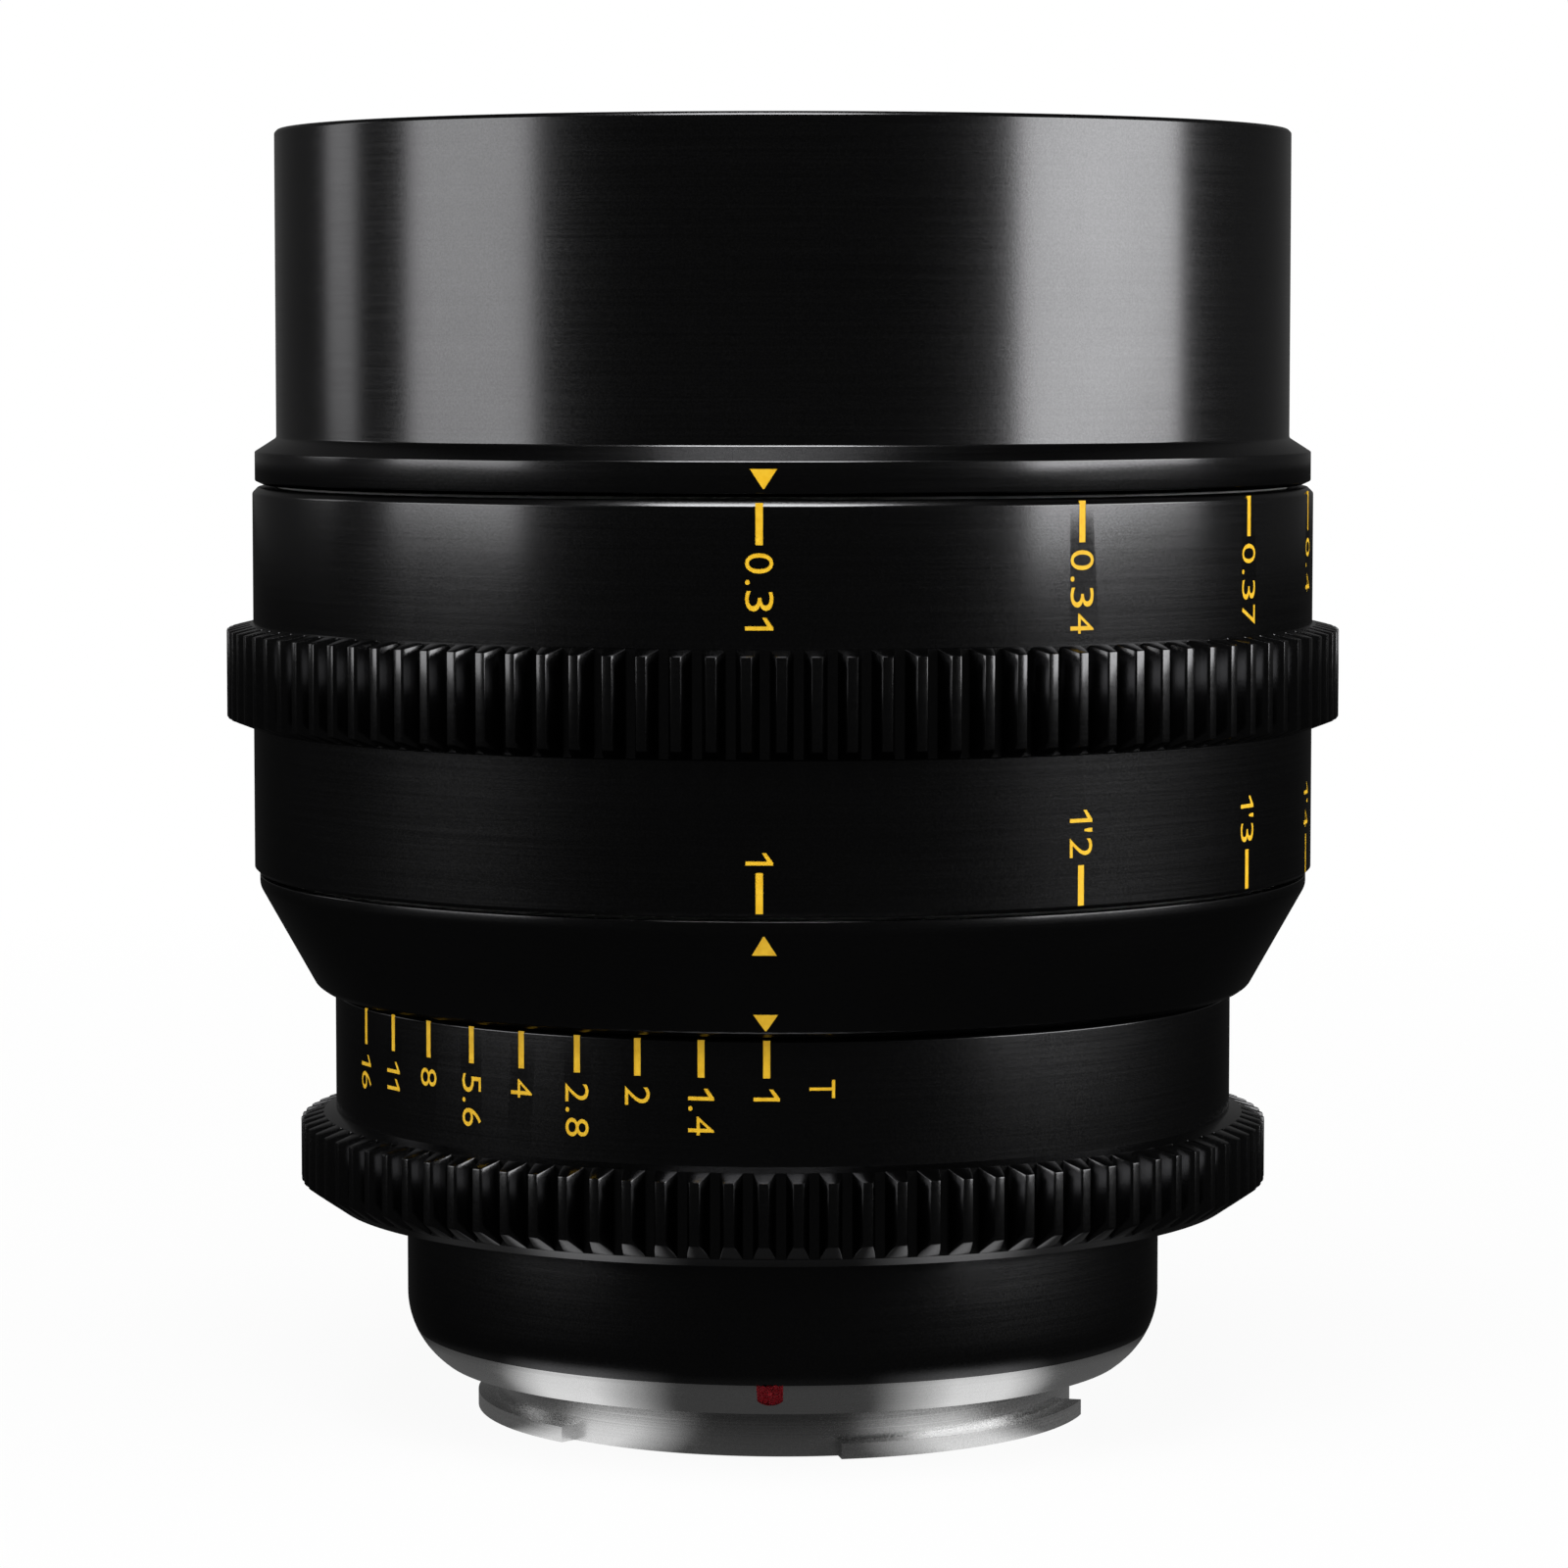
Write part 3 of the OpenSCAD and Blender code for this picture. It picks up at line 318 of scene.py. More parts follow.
def placed(obj, radius, turn, z, lean=0.0):
    """Lay a flat mark on the ring: its x runs down the ring, its y to the right, its z outwards."""
    out = Vector((math.sin(turn), -math.cos(turn), 0.0))
    right = Vector((math.cos(turn), math.sin(turn), 0.0))
    up = Vector((0.0, 0.0, 1.0))
    down = -math.cos(lean) * up - math.sin(lean) * out
    face = math.cos(lean) * out - math.sin(lean) * up
    spot = out * radius * MM + up * z * MM
    obj.matrix_world = Matrix(((down.x, right.x, face.x, spot.x), (down.y, right.y, face.y, spot.y),
                               (down.z, right.z, face.z, spot.z), (0, 0, 0, 1)))
    bpy.ops.object.select_all(action="DESELECT")
    obj.select_set(True)
    bpy.context.view_layer.objects.active = obj
    bpy.ops.object.transform_apply(location=True, rotation=True, scale=True)
    return obj


# widths of the figures and the gap between them, in heights of a figure
sign_width = {"1": 0.46, ".": 0.19, "'": 0.15, "\u221e": 1.3}
plain_width, sign_gap = 0.72, 0.21


def figure(sign, cap, deep):
    """One figure as a solid of a given height, its left edge at x 0 and centred on y 0."""
    bpy.ops.object.select_all(action="DESELECT")
    if sign == "1":
        bpy.ops.mesh.primitive_plane_add(size=MM)
        made = bpy.context.object
        bpy.ops.object.mode_set(mode="EDIT")
        bpy.ops.mesh.merge(type="CENTER")
        stroke = [(0.31, 0.0), (0.46, 0.0), (0.46, 1.0), (0.35, 1.0), (0.0, 0.75), (0.0, 0.59), (0.31, 0.78)]
        bpy.ops.transform.translate(value=(stroke[0][0] * cap * MM, -0.5 * cap * MM, 0))
        for here, there in zip(stroke, stroke[1:]):
            step = ((there[0] - here[0]) * cap * MM, (there[1] - here[1]) * cap * MM, 0)
            bpy.ops.mesh.extrude_vertices_move(TRANSFORM_OT_translate={"value": step})
        bpy.ops.mesh.select_all(action="SELECT")
        bpy.ops.mesh.edge_face_add()
        bpy.ops.mesh.extrude_region_move(TRANSFORM_OT_translate={"value": (0, 0, deep * MM)})
        bpy.ops.mesh.select_all(action="SELECT")
        bpy.ops.transform.translate(value=(0, 0, -deep / 2 * MM))
        bpy.ops.mesh.normals_make_consistent(inside=False)
        bpy.ops.object.mode_set(mode="OBJECT")
        return made
    bpy.ops.object.text_add()
    made = bpy.context.object
    made.data.body = sign
    made.data.size = cap / 0.7 * MM
    made.data.resolution_u = 4
    made.data.extrude = deep / 2 * MM
    bpy.ops.object.convert(target="MESH")
    made = bpy.context.object
    bpy.ops.object.mode_set(mode="EDIT")
    bpy.ops.mesh.select_all(action="SELECT")
    bpy.ops.mesh.remove_doubles(threshold=2e-6)
    xs = [v.co.x for v in bmesh.from_edit_mesh(made.data).verts]
    ys = [v.co.y for v in bmesh.from_edit_mesh(made.data).verts]
    tall = max(ys) - min(ys)
    lift = {".": -cap * MM / 2 + tall / 2, "'": cap * MM / 2 - tall / 2}.get(sign, 0.0)
    grow = cap * MM / tall if sign.isalnum() else 1.0
    wide = sign_width.get(sign, plain_width) * cap * MM
    bpy.ops.transform.translate(value=(-(max(xs) + min(xs)) / 2, -(max(ys) + min(ys)) / 2, 0))
    bpy.ops.transform.resize(value=(wide / (max(xs) - min(xs)), grow, 1), center_override=(0, 0, 0))
    bpy.ops.transform.translate(value=(wide / 2, lift, 0))
    bpy.ops.object.mode_set(mode="OBJECT")
    return made


def number_mark(words, cap, low, high):
    """Figures in a row as one solid from low to high above the skin, starting at x 0 and centred on y 0."""
    made, along = [], 0.0
    for sign in words:
        piece = figure(sign, cap, high - low)
        piece.location = (along * cap * MM, 0, (high + low) / 2 * MM)
        along += sign_width.get(sign, plain_width) + sign_gap
        made.append(piece)
    bpy.ops.object.select_all(action="DESELECT")
    for piece in made:
        piece.select_set(True)
    bpy.context.view_layer.objects.active = made[0]
    bpy.ops.object.transform_apply(location=True, rotation=True, scale=True)
    if len(made) > 1:
        bpy.ops.object.join()
    return bpy.context.object


def bar_mark(length, width, low, high, taper=1.0):
    """A straight cut, or a triangle with its point down the ring for taper 0 and up the ring for taper 2."""
    bpy.ops.object.select_all(action="DESELECT")
    bpy.ops.mesh.primitive_cube_add(size=1)
    made = bpy.context.object
    bpy.ops.object.mode_set(mode="EDIT")
    bpy.ops.transform.resize(value=(length * MM, width * MM, (high - low) * MM))
    bpy.ops.transform.translate(value=(length / 2 * MM, 0, (high + low) / 2 * MM))
    if taper != 1.0:
        bpy.ops.mesh.select_all(action="DESELECT")
        solid = bmesh.from_edit_mesh(made.data)
        for v in solid.verts:
            if v.co.x > length / 2 * MM if taper < 1.0 else v.co.x < length / 2 * MM:
                v.select = True
        solid.select_flush_mode()
        bmesh.update_edit_mesh(made.data)
        bpy.ops.transform.resize(value=(1, 0.06, 1))
    bpy.ops.mesh.select_all(action="SELECT")
    bpy.ops.object.mode_set(mode="OBJECT")
    return made


def mark_set(name, marks, low, high):
    """Lay out a list of marks as one mesh, from low to high above the skin."""
    made = []
    for kind, what, size, radius, turn, z, lean in marks:
        if kind == "number":
            piece = number_mark(what, size, low, high)
        else:
            piece = bar_mark(what, size, low, high, {"tick": 1.0, "down": 0.0, "up": 2.0}[kind])
        made.append(placed(piece, radius, math.radians(turn), z, lean))
    bpy.ops.object.select_all(action="DESELECT")
    for piece in made:
        piece.select_set(True)
    bpy.context.view_layer.objects.active = made[0]
    if len(made) > 1:
        bpy.ops.object.join()
    joined = bpy.context.object
    joined.name = joined.data.name = name
    return joined


def boolean(piece, other, operation):
    """Cut or join another solid, apply it, and clear the other away."""
    step = piece.modifiers.new("cut", "BOOLEAN")
    step.operation = operation
    step.solver = "EXACT"
    step.object = other
    bpy.ops.object.select_all(action="DESELECT")
    piece.select_set(True)
    bpy.context.view_layer.objects.active = piece
    bpy.ops.object.modifier_apply(modifier="cut")
    bpy.data.objects.remove(other)
    return piece


def engraved(piece, name, marks, finish, body, deep=0.1):
    """Cut marks into a piece and fill them with paint that stays just below the skin."""
    bars = [mark for mark in marks if mark[0] != "number"]
    numbers = [mark for mark in marks if mark[0] == "number"]
    for part in (bars, numbers):
        if part:
            boolean(piece, mark_set(name + "_cutter", part, -deep, 0.4), "DIFFERENCE")
    bpy.ops.object.shade_smooth_by_angle(angle=math.radians(32))
    paint = mark_set(name, marks, -deep - 0.02, -0.025)
    bpy.ops.object.mode_set(mode="EDIT")
    bpy.ops.mesh.select_all(action="SELECT")
    bpy.ops.mesh.normals_make_consistent(inside=False)
    bpy.ops.object.mode_set(mode="OBJECT")
    return finished(paint, finish, body, None)


def scale_paint(name, dark, light):
    """Thick enamel rubbed into a cut, with a slight unevenness."""
    made = bpy.data.materials.new(name)
    made.use_nodes = True
    tree = made.node_tree
    shader = tree.nodes["Principled BSDF"]
    place = tree.nodes.new("ShaderNodeTexCoord").outputs["Object"]
    patch = noise(tree, place, 1800.0, 3.0)
    link(tree, two_tone(tree, between(tree, patch, 0.0, 1.0), dark, light), shader.inputs["Base Color"])
    link(tree, between(tree, patch, 0.35, 0.55), shader.inputs["Roughness"])
    shader.inputs["Specular IOR Level"].default_value = 0.25
    lift = tree.nodes.new("ShaderNodeBump")
    lift.inputs["Strength"].default_value = 0.06
    lift.inputs["Distance"].default_value = 0.01 * MM
    link(tree, patch, lift.inputs["Height"])
    link(tree, lift.outputs["Normal"], shader.inputs["Normal"])
    return made


yellow_fill = scale_paint("yellow_fill", (0.82, 0.46, 0.012), (0.92, 0.56, 0.025))
cone_low, cone_high = (37.15, 30.15), (41.5, 37.94)
cone = turned("cone", [(32.35, 29.8), (36.65, 29.8), (*cone_low, 0.2), (*cone_high, 0.3), (41.5, 38.8, 0.06),
                       (37.95, 38.8), (37.95, 33.63), (32.35, 33.63)])
finished(cone, satin_black, "fixed_body", "black_anodised", "cone_housing")
cone_lean = math.atan2(cone_high[0] - cone_low[0], cone_high[1] - cone_low[1])


def cone_radius(z):
    return cone_low[0] + (z - cone_low[1]) * math.tan(cone_lean)


focus_mark_z, iris_mark_z, cone_mark_wide = 37.7, 31.6, 1.85
engraved(cone, "cone_index",
         [("up", 1.7, cone_mark_wide, cone_radius(focus_mark_z), 0.0, focus_mark_z, cone_lean),
          ("down", 1.5, cone_mark_wide, cone_radius(iris_mark_z), 0.0, iris_mark_z, cone_lean)],
         yellow_fill, "fixed_body")

# Focus ring: a turned aluminium sleeve with a 0.8 module gear cut around it for a follow-focus motor. Both
# distance scales are cut in the skin and filled with yellow paint. It turns freely on the main barrel.
flank_angle, edge_break = math.radians(17), 0.07


def gear_teeth(name, teeth, first, root, pitch, tip, low_at, high_at):
    """One involute tooth pulled out of a block in two steps, its edges broken, then copied around the ring."""
    base = pitch * math.cos(flank_angle)

    def involute(r):
        lean = math.acos(min(1.0, base / r))
        return math.tan(lean) - lean

    def width(r):
        half = math.pi / 2 / teeth + involute(pitch) - involute(r)
        return 2 * r * math.sin(half)

    inside = root - 0.4
    bpy.ops.object.select_all(action="DESELECT")
    bpy.ops.mesh.primitive_cube_add(size=1)
    piece = bpy.context.object
    piece.name = piece.data.name = name
    bpy.ops.object.mode_set(mode="EDIT")
    wide, low, high = width(root), low_at(root), high_at(root)
    bpy.ops.transform.resize(value=((root - inside) * MM, wide * MM, (high - low) * MM))
    bpy.ops.transform.translate(value=((root + inside) / 2 * MM, 0, (high + low) / 2 * MM))
    bpy.ops.mesh.select_all(action="DESELECT")
    block = bmesh.from_edit_mesh(piece.data)
    for face in block.faces:
        if face.normal.x > 0.9:
            face.select = True
    block.select_flush_mode()
    bmesh.update_edit_mesh(piece.data)
    at = root
    for r in ((root + pitch) / 2, pitch, (pitch + tip) / 2, tip):
        bpy.ops.mesh.extrude_region_move(TRANSFORM_OT_translate={"value": ((r - at) * MM, 0, 0)})
        centre = (r * MM, 0, (low + high) / 2 * MM)
        bpy.ops.transform.resize(value=(1, width(r) / wide, (high_at(r) - low_at(r)) / (high - low)),
                                 center_override=centre)
        bpy.ops.transform.translate(value=(0, 0, (high_at(r) + low_at(r) - high - low) / 2 * MM))
        at, wide, low, high = r, width(r), low_at(r), high_at(r)
    bpy.ops.mesh.select_all(action="DESELECT")
    block = bmesh.from_edit_mesh(piece.data)
    for edge in block.edges:
        a, b = edge.verts
        on_tip = min(a.co.x, b.co.x) > (tip - 0.01) * MM
        end_rim = edge.calc_face_angle(0) > 0.9 and min(a.co.x, b.co.x) > (root - 0.01) * MM
        if on_tip or end_rim:
            edge.select = True
    block.select_flush_mode()
    bmesh.update_edit_mesh(piece.data)
    bpy.ops.mesh.bevel(offset=edge_break * MM, segments=2, affect="EDGES", profile=0.5)
    bpy.ops.mesh.select_all(action="SELECT")
    bpy.ops.mesh.normals_make_consistent(inside=False)
    bpy.ops.object.mode_set(mode="OBJECT")
    piece.rotation_euler = (0, 0, math.radians(first))
    bpy.ops.object.transform_apply(location=True, rotation=True, scale=True)
    bpy.ops.object.mode_set(mode="EDIT")
    bpy.ops.mesh.select_all(action="SELECT")
    bpy.ops.mesh.spin(steps=teeth - 1, dupli=True, angle=math.tau * (teeth - 1) / teeth, center=(0, 0, 0),
                      axis=(0, 0, 1))
    bpy.ops.object.mode_set(mode="OBJECT")
    return piece


focus_low, focus_high, focus_skin, focus_root = 50.48, 58.6, 41.9, 42.2
focus_rise, focus_fall = 0.381, 0.238
focus = turned("focus_grip", [(40.05, 39.1), (41.6, 39.1), (41.9, 39.4), (focus_skin, focus_low),
                              (focus_root, focus_low + 0.114), (focus_root, focus_high - 0.071),
                              (focus_skin, focus_high),
                              (focus_skin, 68.85, 0.1), (41.45, 69.3, 0.06), (40.05, 69.3)])
distances = [("0.31", 310), ("0.34", 340), ("0.37", 370), ("0.4", 400), ("0.45", 450), ("0.5", 500), ("0.6", 600),
             ("0.8", 800), ("1", 1000), ("1.5", 1500), ("3", 3000)]
focus_throw, nearest, travel_start, focus_offset = 240, 310, 127, -0.42
upper_tick_z, upper_number_z, lower_tick_z = 69.1, 65.5, 42.4
upper_tick, lower_tick, focus_tick_wide = 3.04, 3.0, 0.55
upper_cap, lower_cap = 2.05, 2.0


def focus_angle(reach):
    """The turn of the ring that brings a distance in millimetres to the index."""
    return focus_throw * (1 - (nearest - travel_start) / (reach - travel_start))


focus_marks = []
for words, reach in distances:
    turn = focus_angle(reach) + focus_offset
    focus_marks.append(("tick", upper_tick, focus_tick_wide, focus_skin, turn, upper_tick_z, 0.0))
    focus_marks.append(("number", words, upper_cap, focus_skin, turn, upper_number_z, 0.0))
focus_marks.append(("tick", upper_tick, focus_tick_wide, focus_skin, focus_throw, upper_tick_z, 0.0))
focus_marks.append(("number", "∞", upper_cap, focus_skin, focus_throw, upper_number_z, 0.0))
feet = [("1", 305, 43.85), ("1'2", 340, 46.45), ("1'3", 370, 46.45), ("1'4", 400, 46.45), ("1'6", 450, 46.45),
        ("1'8", 500, 46.45), ("2", 600, 44.3), ("3", 914, 44.3), ("5", 1524, 44.3), ("10", 3048, 45.4)]
for words, reach, high in feet:
    turn = max(0.0, focus_angle(reach)) + focus_offset
    focus_marks.append(("tick", lower_tick, focus_tick_wide, focus_skin, turn, lower_tick_z, 0.0))
    focus_marks.append(("number", words, lower_cap, focus_skin, turn, high, 0.0))
focus_marks.append(("tick", lower_tick, focus_tick_wide, focus_skin, focus_throw, lower_tick_z, 0.0))
engraved(focus, "focus_scale", focus_marks, yellow_fill, "focus_ring")
boolean(focus, gear_teeth("focus_teeth", 108, -88.2, focus_root, 43.2, 43.99,
                          lambda r: focus_low + focus_rise * (r - focus_skin),
                          lambda r: focus_high - focus_fall * (r - focus_skin)), "UNION")
bpy.ops.object.shade_smooth_by_angle(angle=math.radians(32))
finished(focus, satin_black, "focus_ring", "black_anodised", "focus_ring")

# Iris ring: the smaller toothed ring behind the cone, cut and finished as the focus ring is, with the stops in
# yellow. Its gear runs out to the ring's lower edge, where the teeth are chamfered.
iris_low, iris_high, iris_skin, iris_root = 12.6, 20.02, 35.6, 36.6
iris_rise, iris_fall = 0.679, 0.3
iris = turned("iris_grip", [(28.1, iris_low), (iris_skin, iris_low), (iris_root, iris_low + iris_rise),
                            (iris_root, iris_high - iris_fall), (iris_skin, iris_high), (iris_skin, 29.3, 0.08),
                            (35.3, 29.6, 0.05), (32.6, 29.6), (32.6, 14.4), (28.1, 14.4)])
iris_step, iris_tick_z, iris_number_z, iris_cap = -7.84, 29.4, 25.8, 1.95
iris_marks = []
for place, words in enumerate(("1", "1.4", "2", "2.8", "4", "5.6", "8", "11", "16")):
    iris_marks.append(("tick", 2.8, 0.53, iris_skin, iris_step * place, iris_tick_z, 0.0))
    iris_marks.append(("number", words, iris_cap, iris_skin, iris_step * place, iris_number_z, 0.0))
iris_marks.append(("number", "T", 1.9, iris_skin, 6.6, 26.5, 0.0))
engraved(iris, "iris_scale", iris_marks, yellow_fill, "iris_ring")
boolean(iris, gear_teeth("iris_teeth", 94, -90.2, iris_root, 37.6, 38.39,
                         lambda r: iris_low + iris_rise * (r - iris_skin),
                         lambda r: iris_high - iris_fall * (r - iris_skin)), "UNION")
bpy.ops.object.shade_smooth_by_angle(angle=math.radians(32))
finished(iris, satin_black, "iris_ring", "black_anodised", "iris_ring")

# Rear barrel: the short black barrel that closes the back of the body, its lower end rounded into the mount.
# Turned and anodised as the rest, and clamped under the bayonet by the four long screws.
tail_r, tail_z, tail_round, flange_z = 23.5, 5.28, 6.5, 2.55


def rounding(first, last, count=8):
    """Points of the rounding that the rear barrel and the bayonet share, from one height to another."""
    made = []
    for i in range(count + 1):
        z = first + (last - first) * i / count
        made.append((tail_r + math.sqrt(tail_round ** 2 - (tail_z - z) ** 2), z))
    return made


rear = turned("rear_shell", [(24.2, flange_z), *rounding(flange_z, tail_z), (30.0, 12.4, 0.1), (28.05, 12.4),
                             (28.05, 8.0), (24.2, 8.0)])
finished(rear, satin_black, "fixed_body", "black_anodised", "rear_barrel")

# Bayonet: hard aluminium left bright, turned with a fine feed that shows as rings, with three lugs milled on its
# collar. The red enamel dot marks where it goes in, and the four long screws sit in their counterbores.
mount_silver = lathe_metal("mount_silver", (0.5, 0.5, 0.5), (0.62, 0.62, 0.62), (0.95, 0.95, 0.95), (0.2, 0.34),
                           rings=1.0, grain=0.3, bump=0.3)
dress(mount_silver, "bayonet_ring")
dress(ground_steel, "mount_screws")
red_enamel = scale_paint("red_enamel", (0.19, 0.001, 0.006), (0.225, 0.002, 0.008))
bpy.ops.object.select_all(action="DESELECT")
bpy.ops.mesh.primitive_uv_sphere_add(segments=64, ring_count=128, radius=tail_round * MM)
dot = bpy.context.object
dot.name = dot.data.name = "index_dot"
bpy.ops.object.mode_set(mode="EDIT")
bpy.ops.mesh.select_all(action="SELECT")
bpy.ops.mesh.bisect(plane_co=(0, 0, 6.457 * MM), plane_no=(0, 0, 1), use_fill=True, clear_inner=True)
bpy.ops.mesh.extrude_region_move(TRANSFORM_OT_translate={"value": (0, 0, -0.25 * MM)})
bpy.ops.mesh.select_all(action="SELECT")
bpy.ops.transform.translate(value=(0, 0, -6.44 * MM))
bpy.ops.mesh.normals_make_consistent(inside=False)
bpy.ops.object.mode_set(mode="OBJECT")
dot_z = 1.9
dot_lean = math.asin((tail_z - dot_z) / tail_round)
placed(dot, tail_r + tail_round * math.cos(dot_lean), 0.0, dot_z, dot_lean)
bpy.ops.object.mode_set(mode="EDIT")
bpy.ops.mesh.select_all(action="SELECT")
bpy.ops.mesh.bisect(plane_co=(0, 0, 2.53 * MM), plane_no=(0, 0, 1), use_fill=True, clear_outer=True)
bpy.ops.object.mode_set(mode="OBJECT")
bpy.ops.object.shade_smooth_by_angle(angle=math.radians(32))
finished(dot, red_enamel, "fixed_body", "red_enamel", "mount_index_dot")

# Rear baffle: a thin ring with sharp ridges in the throat, black so that no light from the glass edge reaches
# the picture. Pressed in from the back.
dress(flock_black, "rear_baffle")

# Front barrel: the fixed 80 mm front that a matte box clamps on, turned in one piece with its shoulder, with a
# filter thread cut inside. The index for the focus ring is cut in the shoulder. Its side is left bare.
thread, thread_pitch = [], 0.75
for i in range(6):
    thread += [(38.5, 92.35 + thread_pitch * i), (38.1, 92.72 + thread_pitch * i)]
front_shell = turned("front_shell", [(37.95, 69.5), (41.05, 69.5), (41.7, 69.8, 0.08), (41.7, 72.06, 0.08),
                                     (40.0, 73.15, 0.12), (40.0, 96.95, 0.08), (39.75, 97.2, 0.06),
                                     (38.4, 97.2, 0.05), *reversed(thread), (38.1, 92.2), (37.5, 92.2),
                                     (37.5, 86.81), (36.5, 86.81), (36.5, 75.0), (37.95, 75.0)], 512)
finished(front_shell, satin_black, "fixed_body", "black_anodised", "front_barrel")
engraved(front_shell, "front_index", [("down", 1.45, 2.0, 41.7, 0.0, 71.55, 0.0)], yellow_fill, "fixed_body")

# Front trim ring: a stepped black ring around the front glass, where a maker would print a name. It is left
# bare, with fine steps that trap stray light.
trim_r, trim_z, step_wide, step_high = 31.5, 87.81, 1.1875, 0.9225
steps = []
for i in range(4, 0, -1):
    z = trim_z + step_high * i
    steps += [(trim_r + step_wide * i, z, 0.06), (trim_r + step_wide * (i - 1), z)]
trim = turned("front_trim", [(trim_r, 86.81), (37.45, 86.81), (37.45, 91.5), *steps[1:], (trim_r, trim_z)])
finished(trim, dull_black, "fixed_body", "black_plastic", "front_trim_ring")

# Studio: a pale floor that the lens stands on, a large soft box on the right, two narrower ones on the left, and a
# key light high in front. The background is white to the camera and dim to what the lens reflects. The floor
# also glows with a painted pool of light close around the lens, which only reflections and refractions see.
bpy.ops.object.select_all(action="DESELECT")
bpy.ops.mesh.primitive_plane_add(size=8, location=(0, 0, cad_box[0][2]))
floor = bpy.context.object
floor.name = "floor"
floor_and_painted_pool = bpy.data.materials.new("floor_paper_and_painted_pool")
floor_and_painted_pool.use_nodes = True
tree = floor_and_painted_pool.node_tree
tree.nodes.remove(tree.nodes["Principled BSDF"])
rays = tree.nodes.new("ShaderNodeLightPath")
where = tree.nodes.new("ShaderNodeSeparateXYZ")
link(tree, tree.nodes.new("ShaderNodeTexCoord").outputs["Object"], where.inputs[0])
away = sum_of(tree, sum_of(tree, sum_of(tree, where.outputs["X"], 2.0, "POWER"),
                           sum_of(tree, where.outputs["Y"], 2.0, "POWER")), 0.5, "POWER")
facing = sum_of(tree, where.outputs["Y"], away, "DIVIDE")
# Painted pool of light: a glow on the floor, strongest on either side of the front and weaker all round, fading
# out between 32 and 38 mm from the axis.
painted_light_pool = sum_of(tree, between(tree, facing, 0.0, 1.1, -0.95, -0.82), between(tree, facing, 1.0, 0.05, -0.68, -0.5),
              "MULTIPLY")
painted_light_pool = sum_of(tree, sum_of(tree, painted_light_pool, 0.07), between(tree, away, 1.0, 0.0, 0.032, 0.038), "MULTIPLY")
# Painted reflection: reflected and refracted rays see the floor as this glow, at least 0.02, while camera rays see
# plain white.
painted_reflection_level = sum_of(tree, painted_light_pool, 0.02, "MAXIMUM")
soft = tree.nodes.new("ShaderNodeBsdfDiffuse")
soft.inputs["Color"].default_value = (0.85, 0.85, 0.85, 1)
glow = tree.nodes.new("ShaderNodeEmission")
shiny = sum_of(tree, rays.outputs["Is Glossy Ray"], rays.outputs["Is Transmission Ray"], "MAXIMUM")
link(tree, sum_of(tree, sum_of(tree, painted_reflection_level, shiny, "MULTIPLY"), rays.outputs["Is Camera Ray"], "MAXIMUM"),
     glow.inputs["Strength"])
seen = sum_of(tree, rays.outputs["Is Camera Ray"], between(tree, away, 0.94, 1.0, 0.1, 0.4), "MULTIPLY")
both = tree.nodes.new("ShaderNodeMixShader")
link(tree, sum_of(tree, seen, shiny, "MAXIMUM"), both.inputs[0])
link(tree, soft.outputs[0], both.inputs[1])
link(tree, glow.outputs[0], both.inputs[2])
link(tree, both.outputs[0], tree.nodes["Material Output"].inputs["Surface"])
floor.data.materials.append(floor_and_painted_pool)

world = bpy.data.worlds.new("studio")
bpy.context.scene.world = world
world.use_nodes = True
tree = world.node_tree
rays = tree.nodes.new("ShaderNodeLightPath")
way = tree.nodes.new("ShaderNodeSeparateXYZ")
link(tree, tree.nodes.new("ShaderNodeTexCoord").outputs["Generated"], way.inputs[0])
behind = between(tree, way.outputs["Y"], 0.02, 0.12, 0.3, 0.95)
shiny = sum_of(tree, rays.outputs["Is Glossy Ray"], rays.outputs["Is Transmission Ray"], "MAXIMUM")
level = sum_of(tree, sum_of(tree, behind, shiny, "MULTIPLY"), rays.outputs["Is Camera Ray"], "MAXIMUM")
level = sum_of(tree, level, 0.015, "MAXIMUM")
back = tree.nodes["Background"]
back.inputs["Color"].default_value = (1, 1, 1, 1)
link(tree, level, back.inputs["Strength"])


box_low, box_far, box_tall = 0.137, 0.9, 0.35


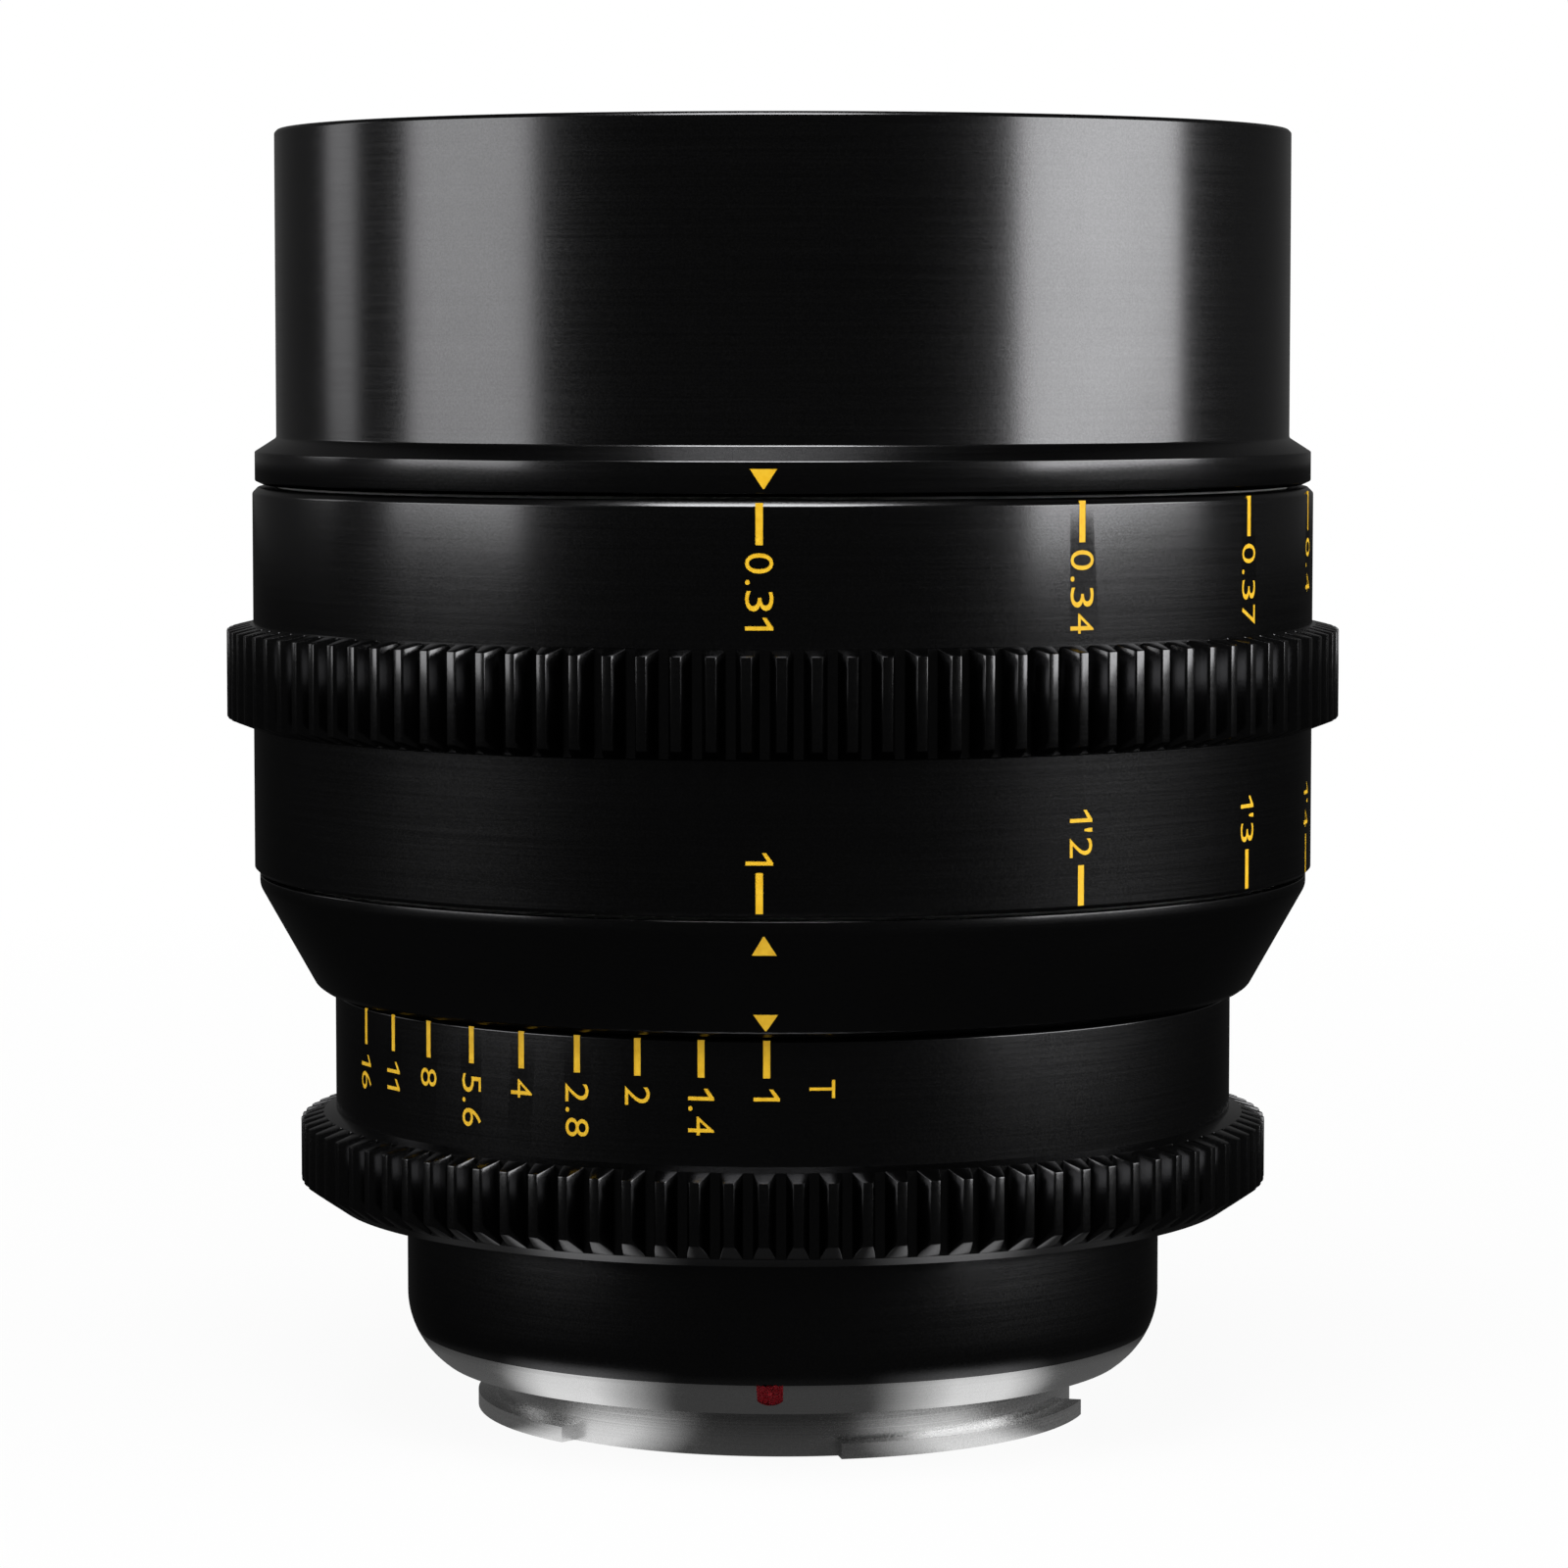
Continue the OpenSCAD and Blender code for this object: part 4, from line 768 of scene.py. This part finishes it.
def soft_box(name, azimuth, wide, level, roll=0.0):
    """An upright soft box at an azimuth from the camera's side, to the right, of a given width and radiance."""
    lamp = bpy.data.lights.new(name, "AREA")
    lamp.shape = "RECTANGLE"
    lamp.size, lamp.size_y, lamp.energy = wide, box_tall, level * math.pi * wide * box_tall
    box = bpy.data.objects.new(name, lamp)
    bpy.context.scene.collection.objects.link(box)
    turn = math.radians(azimuth)
    box.location = (box_far * math.sin(turn), -box_far * math.cos(turn), box_low + box_tall / 2)
    facing = Vector((-box.location.x, -box.location.y, 0)).to_track_quat("-Z", "Y")
    box.rotation_euler = (facing.to_matrix() @ Matrix.Rotation(math.radians(roll), 3, "Z")).to_euler()
    return box


for part, half in enumerate((14.5, 18.5, 22.5)):
    soft_box(f"right_box_{part}", 76.8, 2 * box_far * math.tan(math.radians(half)), 4.2, 2.0)
for part, half in enumerate((10, 13.5, 17)):
    soft_box(f"left_box_{part}", -71, 2 * box_far * math.tan(math.radians(half)), 2.4)
soft_box("far_left_box", -113, 0.2, 1.5)
key_lamp = bpy.data.lights.new("key_box", "AREA")
key_lamp.shape = "RECTANGLE"
key_wide, key_tall, key_level = 0.6, 0.7, 8.0
key_lamp.size, key_lamp.size_y, key_lamp.energy = key_wide, key_tall, key_level * math.pi * key_wide * key_tall
key_box = bpy.data.objects.new("key_box", key_lamp)
bpy.context.scene.collection.objects.link(key_box)
key_box.location = (-0.05, -0.45, 1.0)
key_box.rotation_euler = (Vector((0, 0, 0.06)) - key_box.location).to_track_quat("-Z", "Y").to_euler()

# Camera: a long lens a little above the middle of the part, turned slightly, as in the photograph.
camera_data = bpy.data.cameras.new("camera")
camera = bpy.data.objects.new("camera", camera_data)
bpy.context.scene.collection.objects.link(camera)
camera_data.lens = 128.38
camera_data.sensor_width = 36.0
camera_data.shift_x = 0.0008
camera_data.clip_start = 0.01
camera_far, camera_turn = 0.44405, math.radians(1.9)
camera.location = (camera_far * math.sin(camera_turn), -camera_far * math.cos(camera_turn), 0.0806)
camera.rotation_euler = (Vector((0, 0, 0.04554)) - camera.location).to_track_quat("-Z", "Y").to_euler()
bpy.context.scene.camera = camera
bpy.context.scene.view_settings.view_transform = "Standard"
